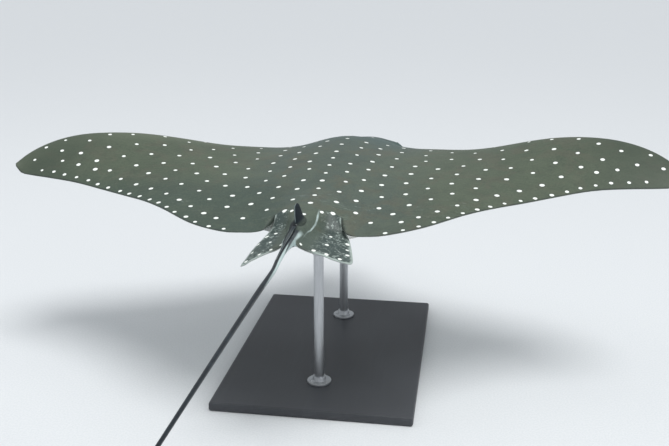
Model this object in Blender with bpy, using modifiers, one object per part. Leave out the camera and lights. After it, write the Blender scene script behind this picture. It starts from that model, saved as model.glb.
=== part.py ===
"""Spotted eagle ray, life size, held in mid-glide on a plain display stand.

The animal faces -Y with its left wing towards +X, and the origin is the middle of the stand's underside.
The flesh is modelled flat, in fractions of the disc's width: `span` is the distance from the midline and
`aft` the distance behind the tip of the snout. It is parted into head, trunk, fins and tail there, and
each piece is then bent into the wing beat.
"""
import math

import bmesh
import bpy
import numpy as np
from mathutils import Matrix, Vector

# Driving sizes, in metres.
DISC_WIDTH = 1.50
GLIDE_HEIGHT = 0.42
GAP = 0.0003
FACET_COLUMNS = 10
SHARP_ANGLE = math.radians(35)

# Where the stand's middle lies along the animal, in disc widths behind the snout.
BALANCE = 0.33

# Outline of the flat disc, as (span, aft) in disc widths, and of the head and tail, as (aft, half width).
FORE_MARGIN = (
    (0.0, 0.100), (0.100, 0.108), (0.12, 0.120), (0.15, 0.138), (0.20, 0.168), (0.26, 0.200),
    (0.32, 0.230), (0.38, 0.258), (0.43, 0.283), (0.47, 0.314), (0.49, 0.340), (0.50, 0.372),
)
AFT_MARGIN = (
    (0.0, 0.578), (0.095, 0.577), (0.12, 0.572), (0.15, 0.560), (0.20, 0.522), (0.26, 0.473),
    (0.32, 0.438), (0.38, 0.416), (0.43, 0.404), (0.47, 0.393), (0.49, 0.385), (0.50, 0.372),
)
HEAD_WIDTH = (
    (0.0, 0.0), (0.002, 0.012), (0.006, 0.021), (0.013, 0.031), (0.023, 0.040), (0.035, 0.0465),
    (0.047, 0.052), (0.056, 0.061), (0.066, 0.074), (0.080, 0.0835), (0.095, 0.088), (0.104, 0.093),
    (0.110, 0.105),
)
TAIL_WIDTH = (
    (0.5725, 0.118), (0.577, 0.090), (0.581, 0.055), (0.585, 0.028), (0.592, 0.015),
    (0.600, 0.0100), (0.630, 0.0064), (0.660, 0.0043),
)
HEAD_END = 0.110
TIP_AFT = 0.372

# Height of the back and depth of the belly along the midline, as (aft, height).
BACK = (
    (0.0, 0.0), (0.004, 0.0035), (0.02, 0.0078), (0.04, 0.012), (0.055, 0.020), (0.075, 0.0322),
    (0.10, 0.0378), (0.15, 0.0440), (0.20, 0.0463), (0.27, 0.0454), (0.34, 0.0407), (0.42, 0.033),
    (0.50, 0.025), (0.56, 0.018), (0.60, 0.0120), (0.63, 0.0070), (0.66, 0.0043),
)
BELLY = (
    (0.0, 0.0), (0.004, 0.0055), (0.02, 0.011), (0.05, 0.022), (0.08, 0.036), (0.15, 0.053), (0.25, 0.063),
    (0.35, 0.060), (0.45, 0.046), (0.52, 0.031), (0.58, 0.015), (0.62, 0.0074), (0.66, 0.0043),
)
# Half width of the body's swell above and below the wings, and how sharply it falls to the sides.
SWELL_WIDTH = (
    (0.0, 0.081), (0.10, 0.095), (0.14, 0.138), (0.20, 0.194), (0.28, 0.217), (0.36, 0.208),
    (0.44, 0.175), (0.50, 0.130), (0.56, 0.060), (0.60, 0.020), (0.66, 0.010),
)
BACK_FALL = (
    (0.0, 0.5), (0.09, 0.5), (0.13, 1.2), (0.20, 2.6), (0.40, 2.4), (0.50, 1.8), (0.56, 0.9), (0.60, 0.5),
)
BELLY_FALL = (
    (0.0, 0.5), (0.09, 0.5), (0.13, 0.8), (0.20, 1.2), (0.40, 1.2), (0.50, 3.0), (0.56, 2.2), (0.60, 0.8),
)

# Thickness of the wing blade along the span, and of its edges.
BLADE = ((0.0, 0.0575), (0.1, 0.0505), (0.2, 0.0345), (0.3, 0.022), (0.4, 0.0126), (0.5, 0.007))
EDGE = 0.0005

# The tail's centre line rises off the wing plane.
TAIL_LIFT = ((0.45, 0.0), (0.60, 0.010), (0.66, 0.012))
LIFT_REACH = 0.045

# Wing beat: slope of each wing along its span and the dip of its hind edge, in degrees.
FLAP = {
    1: ((0.03, 0.0), (0.1, 5.6), (0.2, 9.3), (0.3, 9.0), (0.4, 1.7), (0.5, -23.4)),
    -1: ((0.03, 0.0), (0.1, 10.1), (0.2, 9.5), (0.3, 13.9), (0.4, 2.7), (0.5, -26.9)),
}
TWIST = {
    1: ((0.08, 0.0), (0.2, 1.6), (0.35, 14.6), (0.5, 27.0)),
    -1: ((0.08, 0.0), (0.2, 0.9), (0.35, 13.3), (0.5, 28.8)),
}
TWIST_AXIS = 0.4
FLAP_START = (0.09, 0.17)

# The head turns a little to the right and the tail sways: the midline's shift to the left along the body, how
# far out the whole shift reaches and where it ends, and how much further each wing reaches at its tip.
SWAY = (
    (0.0, -0.0190), (0.045, -0.0155), (0.09, -0.0117), (0.14, -0.0075), (0.20, -0.0030), (0.28, 0.0),
    (0.50, 0.0), (0.55, 0.0010), (0.58, 0.0015), (0.60, 0.0028), (0.62, 0.0042), (0.66, 0.0050),
    (0.70, 0.0036), (0.74, 0.0014), (0.80, 0.0022), (1.10, 0.0013), (1.70, 0.012), (2.35, 0.034),
)
SWAY_FULL = ((0.25, 0.085), (0.40, 0.010))
SWAY_END = ((0.25, 0.20), (0.40, 0.040))
STRETCH = {1: 0.003, -1: 0.014}
STRETCH_START = 0.40

# Cuts between the pieces: the neck, the snout's root, the tail's root and the line beside the trunk.
SNOUT_ROOT = 0.047
NECK = 0.106
WIDE = 0.7
TAIL_ROOT = 0.600
TRUNK_SIDE = (
    (0.106, 0.082), (0.15, 0.100), (0.30, 0.112), (0.39, 0.100), (0.45, 0.070), (0.495, 0.034),
    (0.52, 0.029), (0.56, 0.0190), (0.60, 0.0115),
)

# The notch that the pelvic fin fills: its front end as (span, aft), the tail's side behind the trunk, the
# wing's inner margin, and how far its front end moves for each step that its sides close in.
NOTCH_APEX = (0.034, 0.495)
NOTCH_TAPER = 6.0
TAIL_SIDE = ((0.61, 0.0102), (0.63, 0.0080), (0.66, 0.0062), (0.70, 0.0062))
INNER_MARGIN = (
    (0.70, 0.13), (0.59, 0.13), (0.5775, 0.080), (0.5745, 0.068), (0.569, 0.059), (0.560, 0.0525),
    (0.548, 0.0475), (0.525, 0.042),
)

# Eyes, on the sides of the head.
EYE_PLACE = (0.0665, 0.066, 0.004)
EYE_RADII = (0.0085, 0.0105, 0.0095)

# Pelvic fins, the left one under 1 and the right one under -1: (span, aft) of their front and hind edges,
# the swell that they take from the body, how far they dip, and where along the body the dip sets in.
PELVIC_FORE = {
    1: (
        (0.0095, 0.48), (0.034, 0.49), (0.0464, 0.5548), (0.0512, 0.5822), (0.0559, 0.5951), (0.0599, 0.6095),
        (0.0632, 0.6330),
    ),
    -1: (
        (0.0095, 0.48), (0.034, 0.49), (0.0462, 0.5400), (0.0529, 0.5513), (0.0593, 0.5671), (0.0642, 0.5883),
        (0.0682, 0.6106), (0.0715, 0.6345),
    ),
}
PELVIC_AFT = {
    1: (
        (0.0095, 0.6335), (0.0179, 0.6353), (0.0264, 0.6379), (0.0375, 0.6401), (0.0445, 0.6422),
        (0.0514, 0.6442), (0.0572, 0.6455), (0.0627, 0.6460), (0.0632, 0.6445),
    ),
    -1: (
        (0.0095, 0.6335), (0.0200, 0.6350), (0.0329, 0.6375), (0.0471, 0.6394), (0.0613, 0.6409),
        (0.0690, 0.6410), (0.0715, 0.6375),
    ),
}
PELVIC_THICK = ((0.010, 0.0050), (0.03, 0.0036), (0.068, 0.0012))
PELVIC_SWELL = ((0.010, 1.0), (0.025, 1.0), (0.068, 0.0))
PELVIC_DIP = {
    1: (
        (0.010, -0.002), (0.026, -0.0015), (0.0375, -0.0046), (0.0446, -0.0081), (0.0515, -0.0116),
        (0.0572, -0.0159), (0.0632, -0.0190),
    ),
    -1: (
        (0.010, -0.001), (0.018, 0.0), (0.033, -0.0008), (0.047, -0.0053), (0.061, -0.0100), (0.0715, -0.0125),
    ),
}
PELVIC_DROOP = {1: (0.54, 0.64), -1: (0.52, 0.60)}
PELVIC_LIFT_REACH = 0.016

# Dorsal fin, as (height, aft) of its front and hind edges.
DORSAL_FORE = ((0.0, 0.556), (0.014, 0.566), (0.030, 0.581), (0.041, 0.594))
DORSAL_AFT = ((0.0, 0.602), (0.014, 0.600), (0.030, 0.604), (0.041, 0.602))
DORSAL_THICK = ((0.0, 0.0034), (0.041, 0.0010))
DORSAL_ROOT = 0.010

# Tail lengths: name and end, with the radius and course of the whole whip, in disc widths.
TAIL_LENGTHS = (("tail_fore", 0.95), ("tail_middle", 1.35), ("tail_rear", 1.85), ("tail_whip", 2.35))
TAIL_RADIUS = (
    (0.66, 0.0043), (0.70, 0.0035), (0.74, 0.0031), (0.81, 0.0029), (0.955, 0.0023), (1.08, 0.0018),
    (1.5, 0.0011), (2.35, 0.0006),
)
TAIL_RISE = ((0.66, 0.012), (1.10, 0.017), (1.70, 0.010), (2.35, -0.012))
TAIL_STEP = 0.05

# Stinging spines, in metres: name, length, distance to the side and start behind the snout.
SPINES = (("sting_upper", 0.158, 0.0012, 0.606), ("sting_lower", 0.110, -0.0086, 0.617))
SPINE_RADIUS = 0.0042
SPINE_TIP = 0.0006
SPINE_FLATNESS = 0.38

# Stand, in metres.
BASE_SIZE = (0.44, 0.64, 0.020)
BASE_BEVEL = 0.005
ROD_RADIUS = 0.011
ROD_PLACES = (("stand_rod_front", 0.20), ("stand_rod_rear", 0.455))

# Colour, roughness and metallic value of each material.
SKIN = ((0.095, 0.125, 0.13, 1.0), 0.55, 0.0)
TAIL_SKIN = ((0.012, 0.018, 0.024, 1.0), 0.5, 0.0)
EYE = ((0.010, 0.012, 0.014, 1.0), 0.12, 0.0)
SPINE = ((0.55, 0.53, 0.45, 1.0), 0.5, 0.0)
BASE_PAINT = ((0.045, 0.048, 0.052, 1.0), 0.5, 0.0)
ROD_STEEL = ((0.60, 0.60, 0.60, 1.0), 0.3, 1.0)


def curve(place, stations):
    """Value at a place on a smooth line through the stations, which never overshoots them."""
    xs, ys = np.array(stations, float).T
    steps = np.diff(xs)
    rises = np.diff(ys) / steps
    slopes = np.zeros_like(ys)
    slopes[0] = rises[0]
    slopes[-1] = rises[-1]
    for i in range(1, len(xs) - 1):
        if rises[i - 1] * rises[i] > 0:
            ahead = 2 * steps[i] + steps[i - 1]
            behind = steps[i] + 2 * steps[i - 1]
            slopes[i] = (ahead + behind) / (ahead / rises[i - 1] + behind / rises[i])
    x = np.clip(place, xs[0], xs[-1])
    i = np.clip(np.searchsorted(xs, x, side="right") - 1, 0, len(xs) - 2)
    t = (x - xs[i]) / steps[i]
    start = ys[i] * (1 + 2 * t) * (1 - t) ** 2 + steps[i] * slopes[i] * t * (1 - t) ** 2
    end = ys[i + 1] * t * t * (3 - 2 * t) + steps[i] * slopes[i + 1] * t * t * (t - 1)
    return start + end


def ease(x, low, high):
    """0 below low and 1 above high, with a smooth step between."""
    t = np.clip((np.asarray(x, float) - low) / (high - low), 0.0, 1.0)
    return t * t * (3 - 2 * t)


SPAN_GRID = np.linspace(0.0, 0.5, 1001)
FORE_GRID = curve(SPAN_GRID, FORE_MARGIN)
AFT_GRID = curve(SPAN_GRID, AFT_MARGIN)


def half_width(aft):
    """Distance from the midline to the outline, at a station behind the snout."""
    if aft <= HEAD_END:
        return float(curve(aft, HEAD_WIDTH))
    if aft <= TIP_AFT:
        return float(np.interp(aft, FORE_GRID, SPAN_GRID))
    if aft <= TAIL_WIDTH[0][0]:
        return float(np.interp(-aft, -AFT_GRID, SPAN_GRID))
    return float(curve(aft, TAIL_WIDTH))


def blade_height(span, aft):
    """Half thickness of the wing blade: a round front edge that thins towards the hind edge."""
    fore = curve(span, FORE_MARGIN)
    chord = curve(span, AFT_MARGIN) - fore
    c = np.clip((aft - fore) / np.maximum(chord, 1e-4), 0.0, 1.0)
    section = 5 * (0.2969 * np.sqrt(c) - 0.126 * c - 0.3516 * c**2 + 0.2843 * c**3 - 0.1036 * c**4)
    return curve(span, BLADE) * np.maximum(section, 0.0)


def surface_height(span, aft, side):
    """Height of the flat animal's skin over the wing plane, on its back (side 1) or belly (side -1)."""
    depth = curve(aft, BACK if side > 0 else BELLY)
    fall = curve(aft, BACK_FALL if side > 0 else BELLY_FALL)
    width = min(float(curve(aft, SWELL_WIDTH)), half_width(aft))
    across = np.clip(1 - (span / width) ** 2, 0.0, 1.0)
    swell = depth * across**fall
    height = (swell**3 + blade_height(span, aft) ** 3) ** (1 / 3)
    lift = curve(aft, TAIL_LIFT) * np.exp(-((span / LIFT_REACH) ** 2))
    return side * (height + EDGE) + lift


def bend(point):
    """Place in the world, in metres, of a point (x, aft, height) of the flat animal in disc widths."""
    x, aft, height = point
    sway_full = float(curve(aft, SWAY_FULL))
    sway_end = float(curve(aft, SWAY_END))
    x += float(curve(aft, SWAY)) * (1 - float(ease(abs(x), sway_full, sway_end)))
    side = 1 if x >= 0 else -1
    span = abs(x)
    held = float(ease(aft, *FLAP_START))
    steps = np.linspace(0.0, span, 60)
    slopes = np.radians(curve(steps, FLAP[side])) * held
    spans = np.diff(steps)
    middles = (slopes[1:] + slopes[:-1]) / 2
    out = float(np.sum(np.cos(middles) * spans))
    out += STRETCH[side] * float(ease(span, STRETCH_START, 0.5))
    up = float(np.sum(np.sin(middles) * spans))
    twist = math.radians(float(curve(span, TWIST[side]))) * held
    fore = float(curve(span, FORE_MARGIN))
    axis = fore + TWIST_AXIS * (float(curve(span, AFT_MARGIN)) - fore)
    behind = aft - axis
    dipped = height * math.cos(twist) - behind * math.sin(twist)
    along = axis + behind * math.cos(twist) + height * math.sin(twist)
    out -= dipped * math.sin(slopes[-1])
    up += dipped * math.cos(slopes[-1])
    return Vector((side * out, along - BALANCE, up)) * DISC_WIDTH + Vector((0, 0, GLIDE_HEIGHT))


def flat(point):
    """Place, in metres, of a point of the flat animal, where the pieces are parted."""
    x, aft, height = point
    return Vector((x, aft, height)) * DISC_WIDTH


def clear_scene():
    """Remove what the scene holds."""
    for old in list(bpy.data.objects):
        bpy.data.objects.remove(old, do_unlink=True)


def new_collection(name):
    """A collection linked to the scene."""
    collection = bpy.data.collections.new(name)
    bpy.context.scene.collection.children.link(collection)
    return collection


def make_material(name, finish):
    """A Principled material with a colour, a roughness and a metallic value."""
    colour, roughness, metallic = finish
    material = bpy.data.materials.new(name)
    material.use_nodes = True
    shader = material.node_tree.nodes["Principled BSDF"]
    shader.inputs["Base Color"].default_value = colour
    shader.inputs["Roughness"].default_value = roughness
    shader.inputs["Metallic"].default_value = metallic
    material.diffuse_color = colour
    return material


def add_object(name, mesh, collection, material=None):
    """Object with a mesh, in a collection."""
    thing = bpy.data.objects.new(name, mesh)
    collection.objects.link(thing)
    if material:
        mesh.materials.append(material)
    return thing


def loft_mesh(name, loops):
    """Skin over closed loops of equal length, capped at both ends."""
    bm = bmesh.new()
    rows = [[bm.verts.new(point) for point in loop] for loop in loops]
    for first, second in zip(rows, rows[1:]):
        for i in range(len(first)):
            j = (i + 1) % len(first)
            bm.faces.new((first[i], first[j], second[j], second[i]))
    bm.faces.new(reversed(rows[0]))
    bm.faces.new(rows[-1])
    bmesh.ops.recalc_face_normals(bm, faces=bm.faces)
    mesh = bpy.data.meshes.new(name)
    bm.to_mesh(mesh)
    bm.free()
    return mesh


def body_stations():
    """Stations of the body's sections, closer together where its outline turns."""
    spans = (
        (0.0003, 0.004, 3), (0.004, SNOUT_ROOT, 5), (SNOUT_ROOT, HEAD_END, 7), (HEAD_END, TIP_AFT, 15),
        (TIP_AFT, 0.43, 9), (0.43, 0.56, 7), (0.56, TAIL_ROOT, 8), (TAIL_ROOT, 0.66, 4),
    )
    stations = [spans[0][0]]
    for start, end, count in spans:
        stations.extend(np.linspace(start, end, count + 1)[1:])
    return stations


def body_loop(aft):
    """One cross section of the flat body, as a closed loop."""
    spans = half_width(aft) * np.sin(np.linspace(-math.pi / 2, math.pi / 2, 2 * FACET_COLUMNS + 1))
    loop = []
    for side, order in ((1, spans), (-1, spans[::-1])):
        heights = surface_height(np.abs(order), aft, side)
        loop.extend(flat((x, aft, z)) for x, z in zip(order, heights))
    return loop


def body_mesh(name, grow=0.0):
    """The whole flat body in triangles, from the snout to the root of the tail, grown by so many metres."""
    mesh = loft_mesh(name, [body_loop(aft) for aft in body_stations()])
    bm = bmesh.new()
    bm.from_mesh(mesh)
    bmesh.ops.triangulate(bm, faces=bm.faces)
    bm.normal_update()
    moves = [vert.normal * vert.calc_shell_factor() * grow for vert in bm.verts]
    for vert, move in zip(bm.verts, moves):
        vert.co += move
    bm.to_mesh(mesh)
    bm.free()
    return mesh


def outline_cutter(name, outline, collection):
    """Upright prism over a flat outline of (x, aft) points, tall enough to pass through the body."""
    drawing = bpy.data.curves.new(name, "CURVE")
    drawing.dimensions = "2D"
    drawing.fill_mode = "BOTH"
    drawing.extrude = 0.3 * DISC_WIDTH
    spline = drawing.splines.new("POLY")
    spline.points.add(len(outline) - 1)
    for point, (x, aft) in zip(spline.points, outline):
        point.co = (*flat((x, aft, 0)), 1.0)
    spline.use_cyclic_u = True
    guide = bpy.data.objects.new(name + "_outline", drawing)
    collection.objects.link(guide)
    mesh = evaluated_mesh(guide)
    bpy.data.objects.remove(guide)
    return cutter_object(name, mesh, collection)


def cutter_object(name, mesh, collection):
    """Object that only cuts: it shows as wire and doesn't render."""
    cutter = add_object(name, mesh, collection)
    cutter.hide_render = True
    cutter.display_type = "WIRE"
    return cutter


def evaluated_mesh(thing):
    """Mesh of an object with its modifiers applied and its doubled points welded."""
    bpy.context.view_layer.update()
    mesh = bpy.data.meshes.new_from_object(thing.evaluated_get(bpy.context.evaluated_depsgraph_get()))
    bm = bmesh.new()
    bm.from_mesh(mesh)
    bmesh.ops.remove_doubles(bm, verts=bm.verts, dist=1e-6)
    bm.to_mesh(mesh)
    bm.free()
    return mesh


def shade_round(mesh):
    """Smooth shading, with the real corners kept sharp."""
    mesh.shade_smooth()
    mesh.set_sharp_from_angle(angle=SHARP_ANGLE)


def boolean(thing, operation, cutter):
    """Exact Boolean modifier."""
    modifier = thing.modifiers.new(operation.lower(), "BOOLEAN")
    modifier.operation = operation
    modifier.solver = "EXACT"
    modifier.object = cutter


def pose(mesh):
    """Divide a flat mesh into triangles and bend it into the wing beat."""
    bm = bmesh.new()
    bm.from_mesh(mesh)
    bmesh.ops.triangulate(bm, faces=bm.faces)
    for vert in bm.verts:
        vert.co = bend(vert.co / DISC_WIDTH)
    bm.to_mesh(mesh)
    bm.free()


def finish_flat_piece(thing):
    """Apply a flat piece's cuts and bend it into the wing beat."""
    mesh = evaluated_mesh(thing)
    pose(mesh)
    shade_round(mesh)
    thing.modifiers.clear()
    thing.data = mesh


def shifted(line, offset):
    """A line of (aft, span) stations on the left, moved out by an offset, as (x, aft) points."""
    return [(span + offset, aft) for aft, span in line]


def mirrored(outline):
    """An outline on the left, carried over to the right."""
    return [(-x, aft) for x, aft in outline]


def notch_outline(offset):
    """Outline of the notch between the tail and the left wing, made smaller by an offset."""
    apex = (NOTCH_APEX[0], NOTCH_APEX[1] + NOTCH_TAPER * offset)
    inner = [station for station in TRUNK_SIDE if station[0] > NOTCH_APEX[1]]
    return [apex] + shifted(inner + list(TAIL_SIDE), offset) + shifted(INNER_MARGIN, -offset)


def band_outline(fore, aft):
    """A band right across the body, between two stations."""
    return [(-WIDE, fore), (WIDE, fore), (WIDE, aft), (-WIDE, aft)]


def cut_outlines():
    """Outline of each piece of the body, GAP apart."""
    gap = GAP / DISC_WIDTH
    near = shifted(TRUNK_SIDE, -gap / 2)
    wing = shifted(TRUNK_SIDE, gap / 2) + [(WIDE, TAIL_ROOT), (WIDE, NECK)]
    return {
        "snout": band_outline(-WIDE, SNOUT_ROOT),
        "head": band_outline(SNOUT_ROOT + gap, NECK - gap),
        "trunk": near + mirrored(reversed(near)),
        "pectoral_left": wing,
        "pectoral_right": mirrored(wing),
        "tail_base": band_outline(TAIL_ROOT + gap, WIDE),
    }


def make_body(parts, cutters, skin, eyes):
    """Head, trunk, wings and tail base, cut from one flat body."""
    whole = body_mesh("whole_body")
    notch = notch_outline(-GAP / DISC_WIDTH)
    notches = {"pectoral_left": notch, "pectoral_right": mirrored(notch)}
    for name, outline in cut_outlines().items():
        piece = add_object(name, whole.copy(), parts, skin)
        boolean(piece, "INTERSECT", outline_cutter(name + "_region", outline, cutters))
        if name == "head":
            for eye in eyes:
                boolean(piece, "DIFFERENCE", eye)
        if name in notches:
            boolean(piece, "DIFFERENCE", outline_cutter(name + "_notch", notches[name], cutters))
        finish_flat_piece(piece)


def eye_mesh(name, side, grow=0.0):
    """An eyeball, set in the side of the flat head."""
    bm = bmesh.new()
    bmesh.ops.create_uvsphere(bm, u_segments=16, v_segments=10, radius=1.0)
    radii = [radius * DISC_WIDTH + grow for radius in EYE_RADII]
    x, aft, height = EYE_PLACE
    bm.transform(Matrix.Translation(flat((side * x, aft, height))) @ Matrix.Diagonal((*radii, 1.0)))
    mesh = bpy.data.meshes.new(name)
    bm.to_mesh(mesh)
    bm.free()
    return mesh


def make_eyes(parts, cutters, material):
    """Both eyes, and the slightly larger ones that cut their sockets."""
    sockets = []
    for name, side in (("eye_left", 1), ("eye_right", -1)):
        eye = add_object(name, eye_mesh(name, side), parts, material)
        finish_flat_piece(eye)
        sockets.append(cutter_object(name + "_socket", eye_mesh(name + "_socket", side, GAP), cutters))
    return sockets


def lens_steps(count=7):
    """Steps across a thin lens, from its front to its hind edge, with its half thickness at each."""
    steps = (1 - np.cos(np.linspace(0, math.pi, count))) / 2
    return [(c, math.sqrt(max(4 * c * (1 - c), 0.0))) for c in steps]


def pelvic_loop(span, side):
    """Section of a pelvic fin along the body: a thin lens that takes up the body's swell at its root."""
    fore = float(curve(span, PELVIC_FORE[side]))
    chord = float(curve(span, PELVIC_AFT[side])) - fore
    thick = float(curve(span, PELVIC_THICK))
    swell = float(curve(span, PELVIC_SWELL))
    dip = float(curve(span, PELVIC_DIP[side]))
    loop = []
    for face, steps in ((1, lens_steps()), (-1, lens_steps()[::-1])):
        for c, bulge in steps:
            aft = fore + c * chord
            lift = float(curve(aft, TAIL_LIFT)) * math.exp(-((span / PELVIC_LIFT_REACH) ** 2))
            body = max(face * (float(surface_height(span, aft, face)) - lift), 0.0)
            body *= swell * (1 - float(ease(c, 0.5, 1.0)))
            height = lift + face * (max(body, thick * bulge) + EDGE) + dip * ease(aft, *PELVIC_DROOP[side])
            loop.append(flat((side * span, aft, height)))
    return loop


def make_pelvic_fin(name, side, parts, cutters, skin):
    """A pelvic fin, which fills the notch between the tail and the wing."""
    root = PELVIC_FORE[side][0][0]
    tip = PELVIC_FORE[side][-1][0]
    spans = root + np.sin(np.linspace(0, math.pi / 2, 9)) * (tip - root)
    loops = [pelvic_loop(span, side) for span in spans]
    fin = add_object(name, loft_mesh(name, loops), parts, skin)
    outline = notch_outline(2 * GAP / DISC_WIDTH)
    if side < 0:
        outline = mirrored(outline)
    boolean(fin, "INTERSECT", outline_cutter(name + "_region", outline, cutters))
    finish_flat_piece(fin)


def dorsal_loop(height):
    """Level section of the dorsal fin."""
    fore = float(curve(height, DORSAL_FORE))
    chord = float(curve(height, DORSAL_AFT)) - fore
    thick = float(curve(height, DORSAL_THICK))
    loop = []
    for face, steps in ((1, lens_steps()), (-1, lens_steps()[::-1])):
        for c, bulge in steps:
            loop.append(flat((face * (thick * bulge + EDGE), fore + c * chord, DORSAL_ROOT + height)))
    return loop


def make_dorsal_fin(parts, grown_body, skin):
    """The small fin on the root of the tail."""
    loops = [dorsal_loop(height) for height in np.linspace(0.0, DORSAL_FORE[-1][0], 7)]
    fin = add_object("dorsal_fin", loft_mesh("dorsal_fin", loops), parts, skin)
    boolean(fin, "DIFFERENCE", grown_body)
    finish_flat_piece(fin)


def tail_point(aft):
    """Centre of the tail at a station, in the flat animal."""
    return (float(curve(aft, SWAY)), aft, float(curve(aft, TAIL_RISE)))


def make_tail(parts, material):
    """The whip of the tail, as tapered tubes end to end."""
    start = TAIL_RADIUS[0][0]
    for name, end in TAIL_LENGTHS:
        first = start + GAP / DISC_WIDTH
        count = max(4, math.ceil((end - first) / TAIL_STEP))
        drawing = bpy.data.curves.new(name, "CURVE")
        drawing.dimensions = "3D"
        drawing.use_fill_caps = True
        drawing.bevel_depth = DISC_WIDTH
        drawing.bevel_resolution = 2
        spline = drawing.splines.new("POLY")
        spline.points.add(count)
        for point, aft in zip(spline.points, np.linspace(first, end, count + 1)):
            x, along, height = tail_point(aft)
            place = Vector((x, along - BALANCE, height)) * DISC_WIDTH + Vector((0, 0, GLIDE_HEIGHT))
            point.co = (*place, 1.0)
            point.radius = float(curve(aft, TAIL_RADIUS))
        tube = bpy.data.objects.new(name, drawing)
        parts.objects.link(tube)
        drawing.materials.append(material)
        start = end


def make_spines(parts, material):
    """The stinging spines, lying back along the top of the tail."""
    for name, length, sideways, start in SPINES:
        bm = bmesh.new()
        bmesh.ops.create_cone(
            bm, cap_ends=True, segments=10, radius1=SPINE_RADIUS, radius2=SPINE_TIP, depth=length,
        )
        mesh = bpy.data.meshes.new(name)
        bm.transform(Matrix.Diagonal((1.0, SPINE_FLATNESS, 1.0, 1.0)))
        bm.transform(Matrix.Translation((0, 0, length / 2)))
        bm.to_mesh(mesh)
        bm.free()
        shade_round(mesh)
        spine = add_object(name, mesh, parts, material)
        low, high = spine_line(length, sideways, start)
        spine.location = low
        spine.rotation_euler = (high - low).to_track_quat("Z", "Y").to_euler()


def spine_line(length, sideways, start):
    """Root and tip of a spine, just clear of the tail beneath it."""
    ends = []
    for aft in (start, start + length / DISC_WIDTH):
        if aft > TAIL_RADIUS[0][0]:
            top = float(curve(aft, TAIL_RISE)) + float(curve(aft, TAIL_RADIUS))
        else:
            top = float(surface_height(0.0, aft, 1))
        height = top * DISC_WIDTH + SPINE_RADIUS * SPINE_FLATNESS + 2 * GAP
        across = sideways + float(curve(aft, SWAY)) * DISC_WIDTH
        ends.append(Vector((across, (aft - BALANCE) * DISC_WIDTH, GLIDE_HEIGHT + height)))
    return ends


def make_stand(parts, grown_body, paint, steel):
    """A flat base and two rods up to the belly of the bent body."""
    bm = bmesh.new()
    bmesh.ops.create_cube(bm, size=1.0)
    bm.transform(Matrix.Diagonal((*BASE_SIZE, 1.0)))
    mesh = bpy.data.meshes.new("stand_base")
    bm.to_mesh(mesh)
    bm.free()
    base = add_object("stand_base", mesh, parts, paint)
    base.location.z = BASE_SIZE[2] / 2
    bevel = base.modifiers.new("rounded_edges", "BEVEL")
    bevel.width = BASE_BEVEL
    bevel.segments = 2
    pose(grown_body.data)
    for name, aft in ROD_PLACES:
        make_rod(name, aft, parts, grown_body, steel)


def make_rod(name, aft, parts, grown_body, steel):
    """A round rod from the base into the shape of the belly."""
    foot = BASE_SIZE[2] + GAP
    bm = bmesh.new()
    bmesh.ops.create_cone(
        bm, cap_ends=True, segments=24, radius1=ROD_RADIUS, radius2=ROD_RADIUS, depth=GLIDE_HEIGHT - foot,
    )
    bm.transform(Matrix.Translation((0, (aft - BALANCE) * DISC_WIDTH, (foot + GLIDE_HEIGHT) / 2)))
    mesh = bpy.data.meshes.new(name)
    bm.to_mesh(mesh)
    bm.free()
    rod = add_object(name, mesh, parts, steel)
    boolean(rod, "DIFFERENCE", grown_body)


def main():
    """Build the ray and its stand."""
    clear_scene()
    parts = new_collection("spotted_eagle_ray")
    cutters = new_collection("cutters")
    skin = make_material("skin", SKIN)
    tail_skin = make_material("tail_skin", TAIL_SKIN)
    base_paint = make_material("base_paint", BASE_PAINT)
    rod_steel = make_material("rod_steel", ROD_STEEL)
    grown_body = cutter_object("grown_body", body_mesh("grown_body", GAP), cutters)
    sockets = make_eyes(parts, cutters, make_material("eye", EYE))
    make_body(parts, cutters, skin, sockets)
    make_pelvic_fin("pelvic_left", 1, parts, cutters, skin)
    make_pelvic_fin("pelvic_right", -1, parts, cutters, skin)
    make_dorsal_fin(parts, grown_body, tail_skin)
    make_tail(parts, tail_skin)
    make_spines(parts, make_material("spine", SPINE))
    make_stand(parts, grown_body, base_paint, rod_steel)


main()
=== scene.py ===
import math

import bmesh
import bpy
import numpy as np
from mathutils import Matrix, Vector
from mathutils.bvhtree import BVHTree
from mathutils.kdtree import KDTree


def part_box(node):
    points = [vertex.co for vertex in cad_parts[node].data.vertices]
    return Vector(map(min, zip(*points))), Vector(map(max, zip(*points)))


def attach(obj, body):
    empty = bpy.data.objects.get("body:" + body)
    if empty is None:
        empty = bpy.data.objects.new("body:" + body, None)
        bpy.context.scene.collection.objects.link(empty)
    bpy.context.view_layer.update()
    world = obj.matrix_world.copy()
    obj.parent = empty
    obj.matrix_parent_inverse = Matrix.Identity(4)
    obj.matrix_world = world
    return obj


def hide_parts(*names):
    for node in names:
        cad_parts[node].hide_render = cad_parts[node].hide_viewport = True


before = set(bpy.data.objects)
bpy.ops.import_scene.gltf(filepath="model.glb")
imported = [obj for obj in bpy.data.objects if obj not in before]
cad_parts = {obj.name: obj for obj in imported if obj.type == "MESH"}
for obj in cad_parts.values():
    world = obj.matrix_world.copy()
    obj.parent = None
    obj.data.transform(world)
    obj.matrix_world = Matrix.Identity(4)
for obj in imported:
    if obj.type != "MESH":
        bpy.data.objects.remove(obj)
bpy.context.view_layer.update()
print("frame loaded:", len(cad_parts), "nodes")

# ---- the animal laid flat: span is out from the midline and aft is behind the snout, in disc widths

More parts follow.
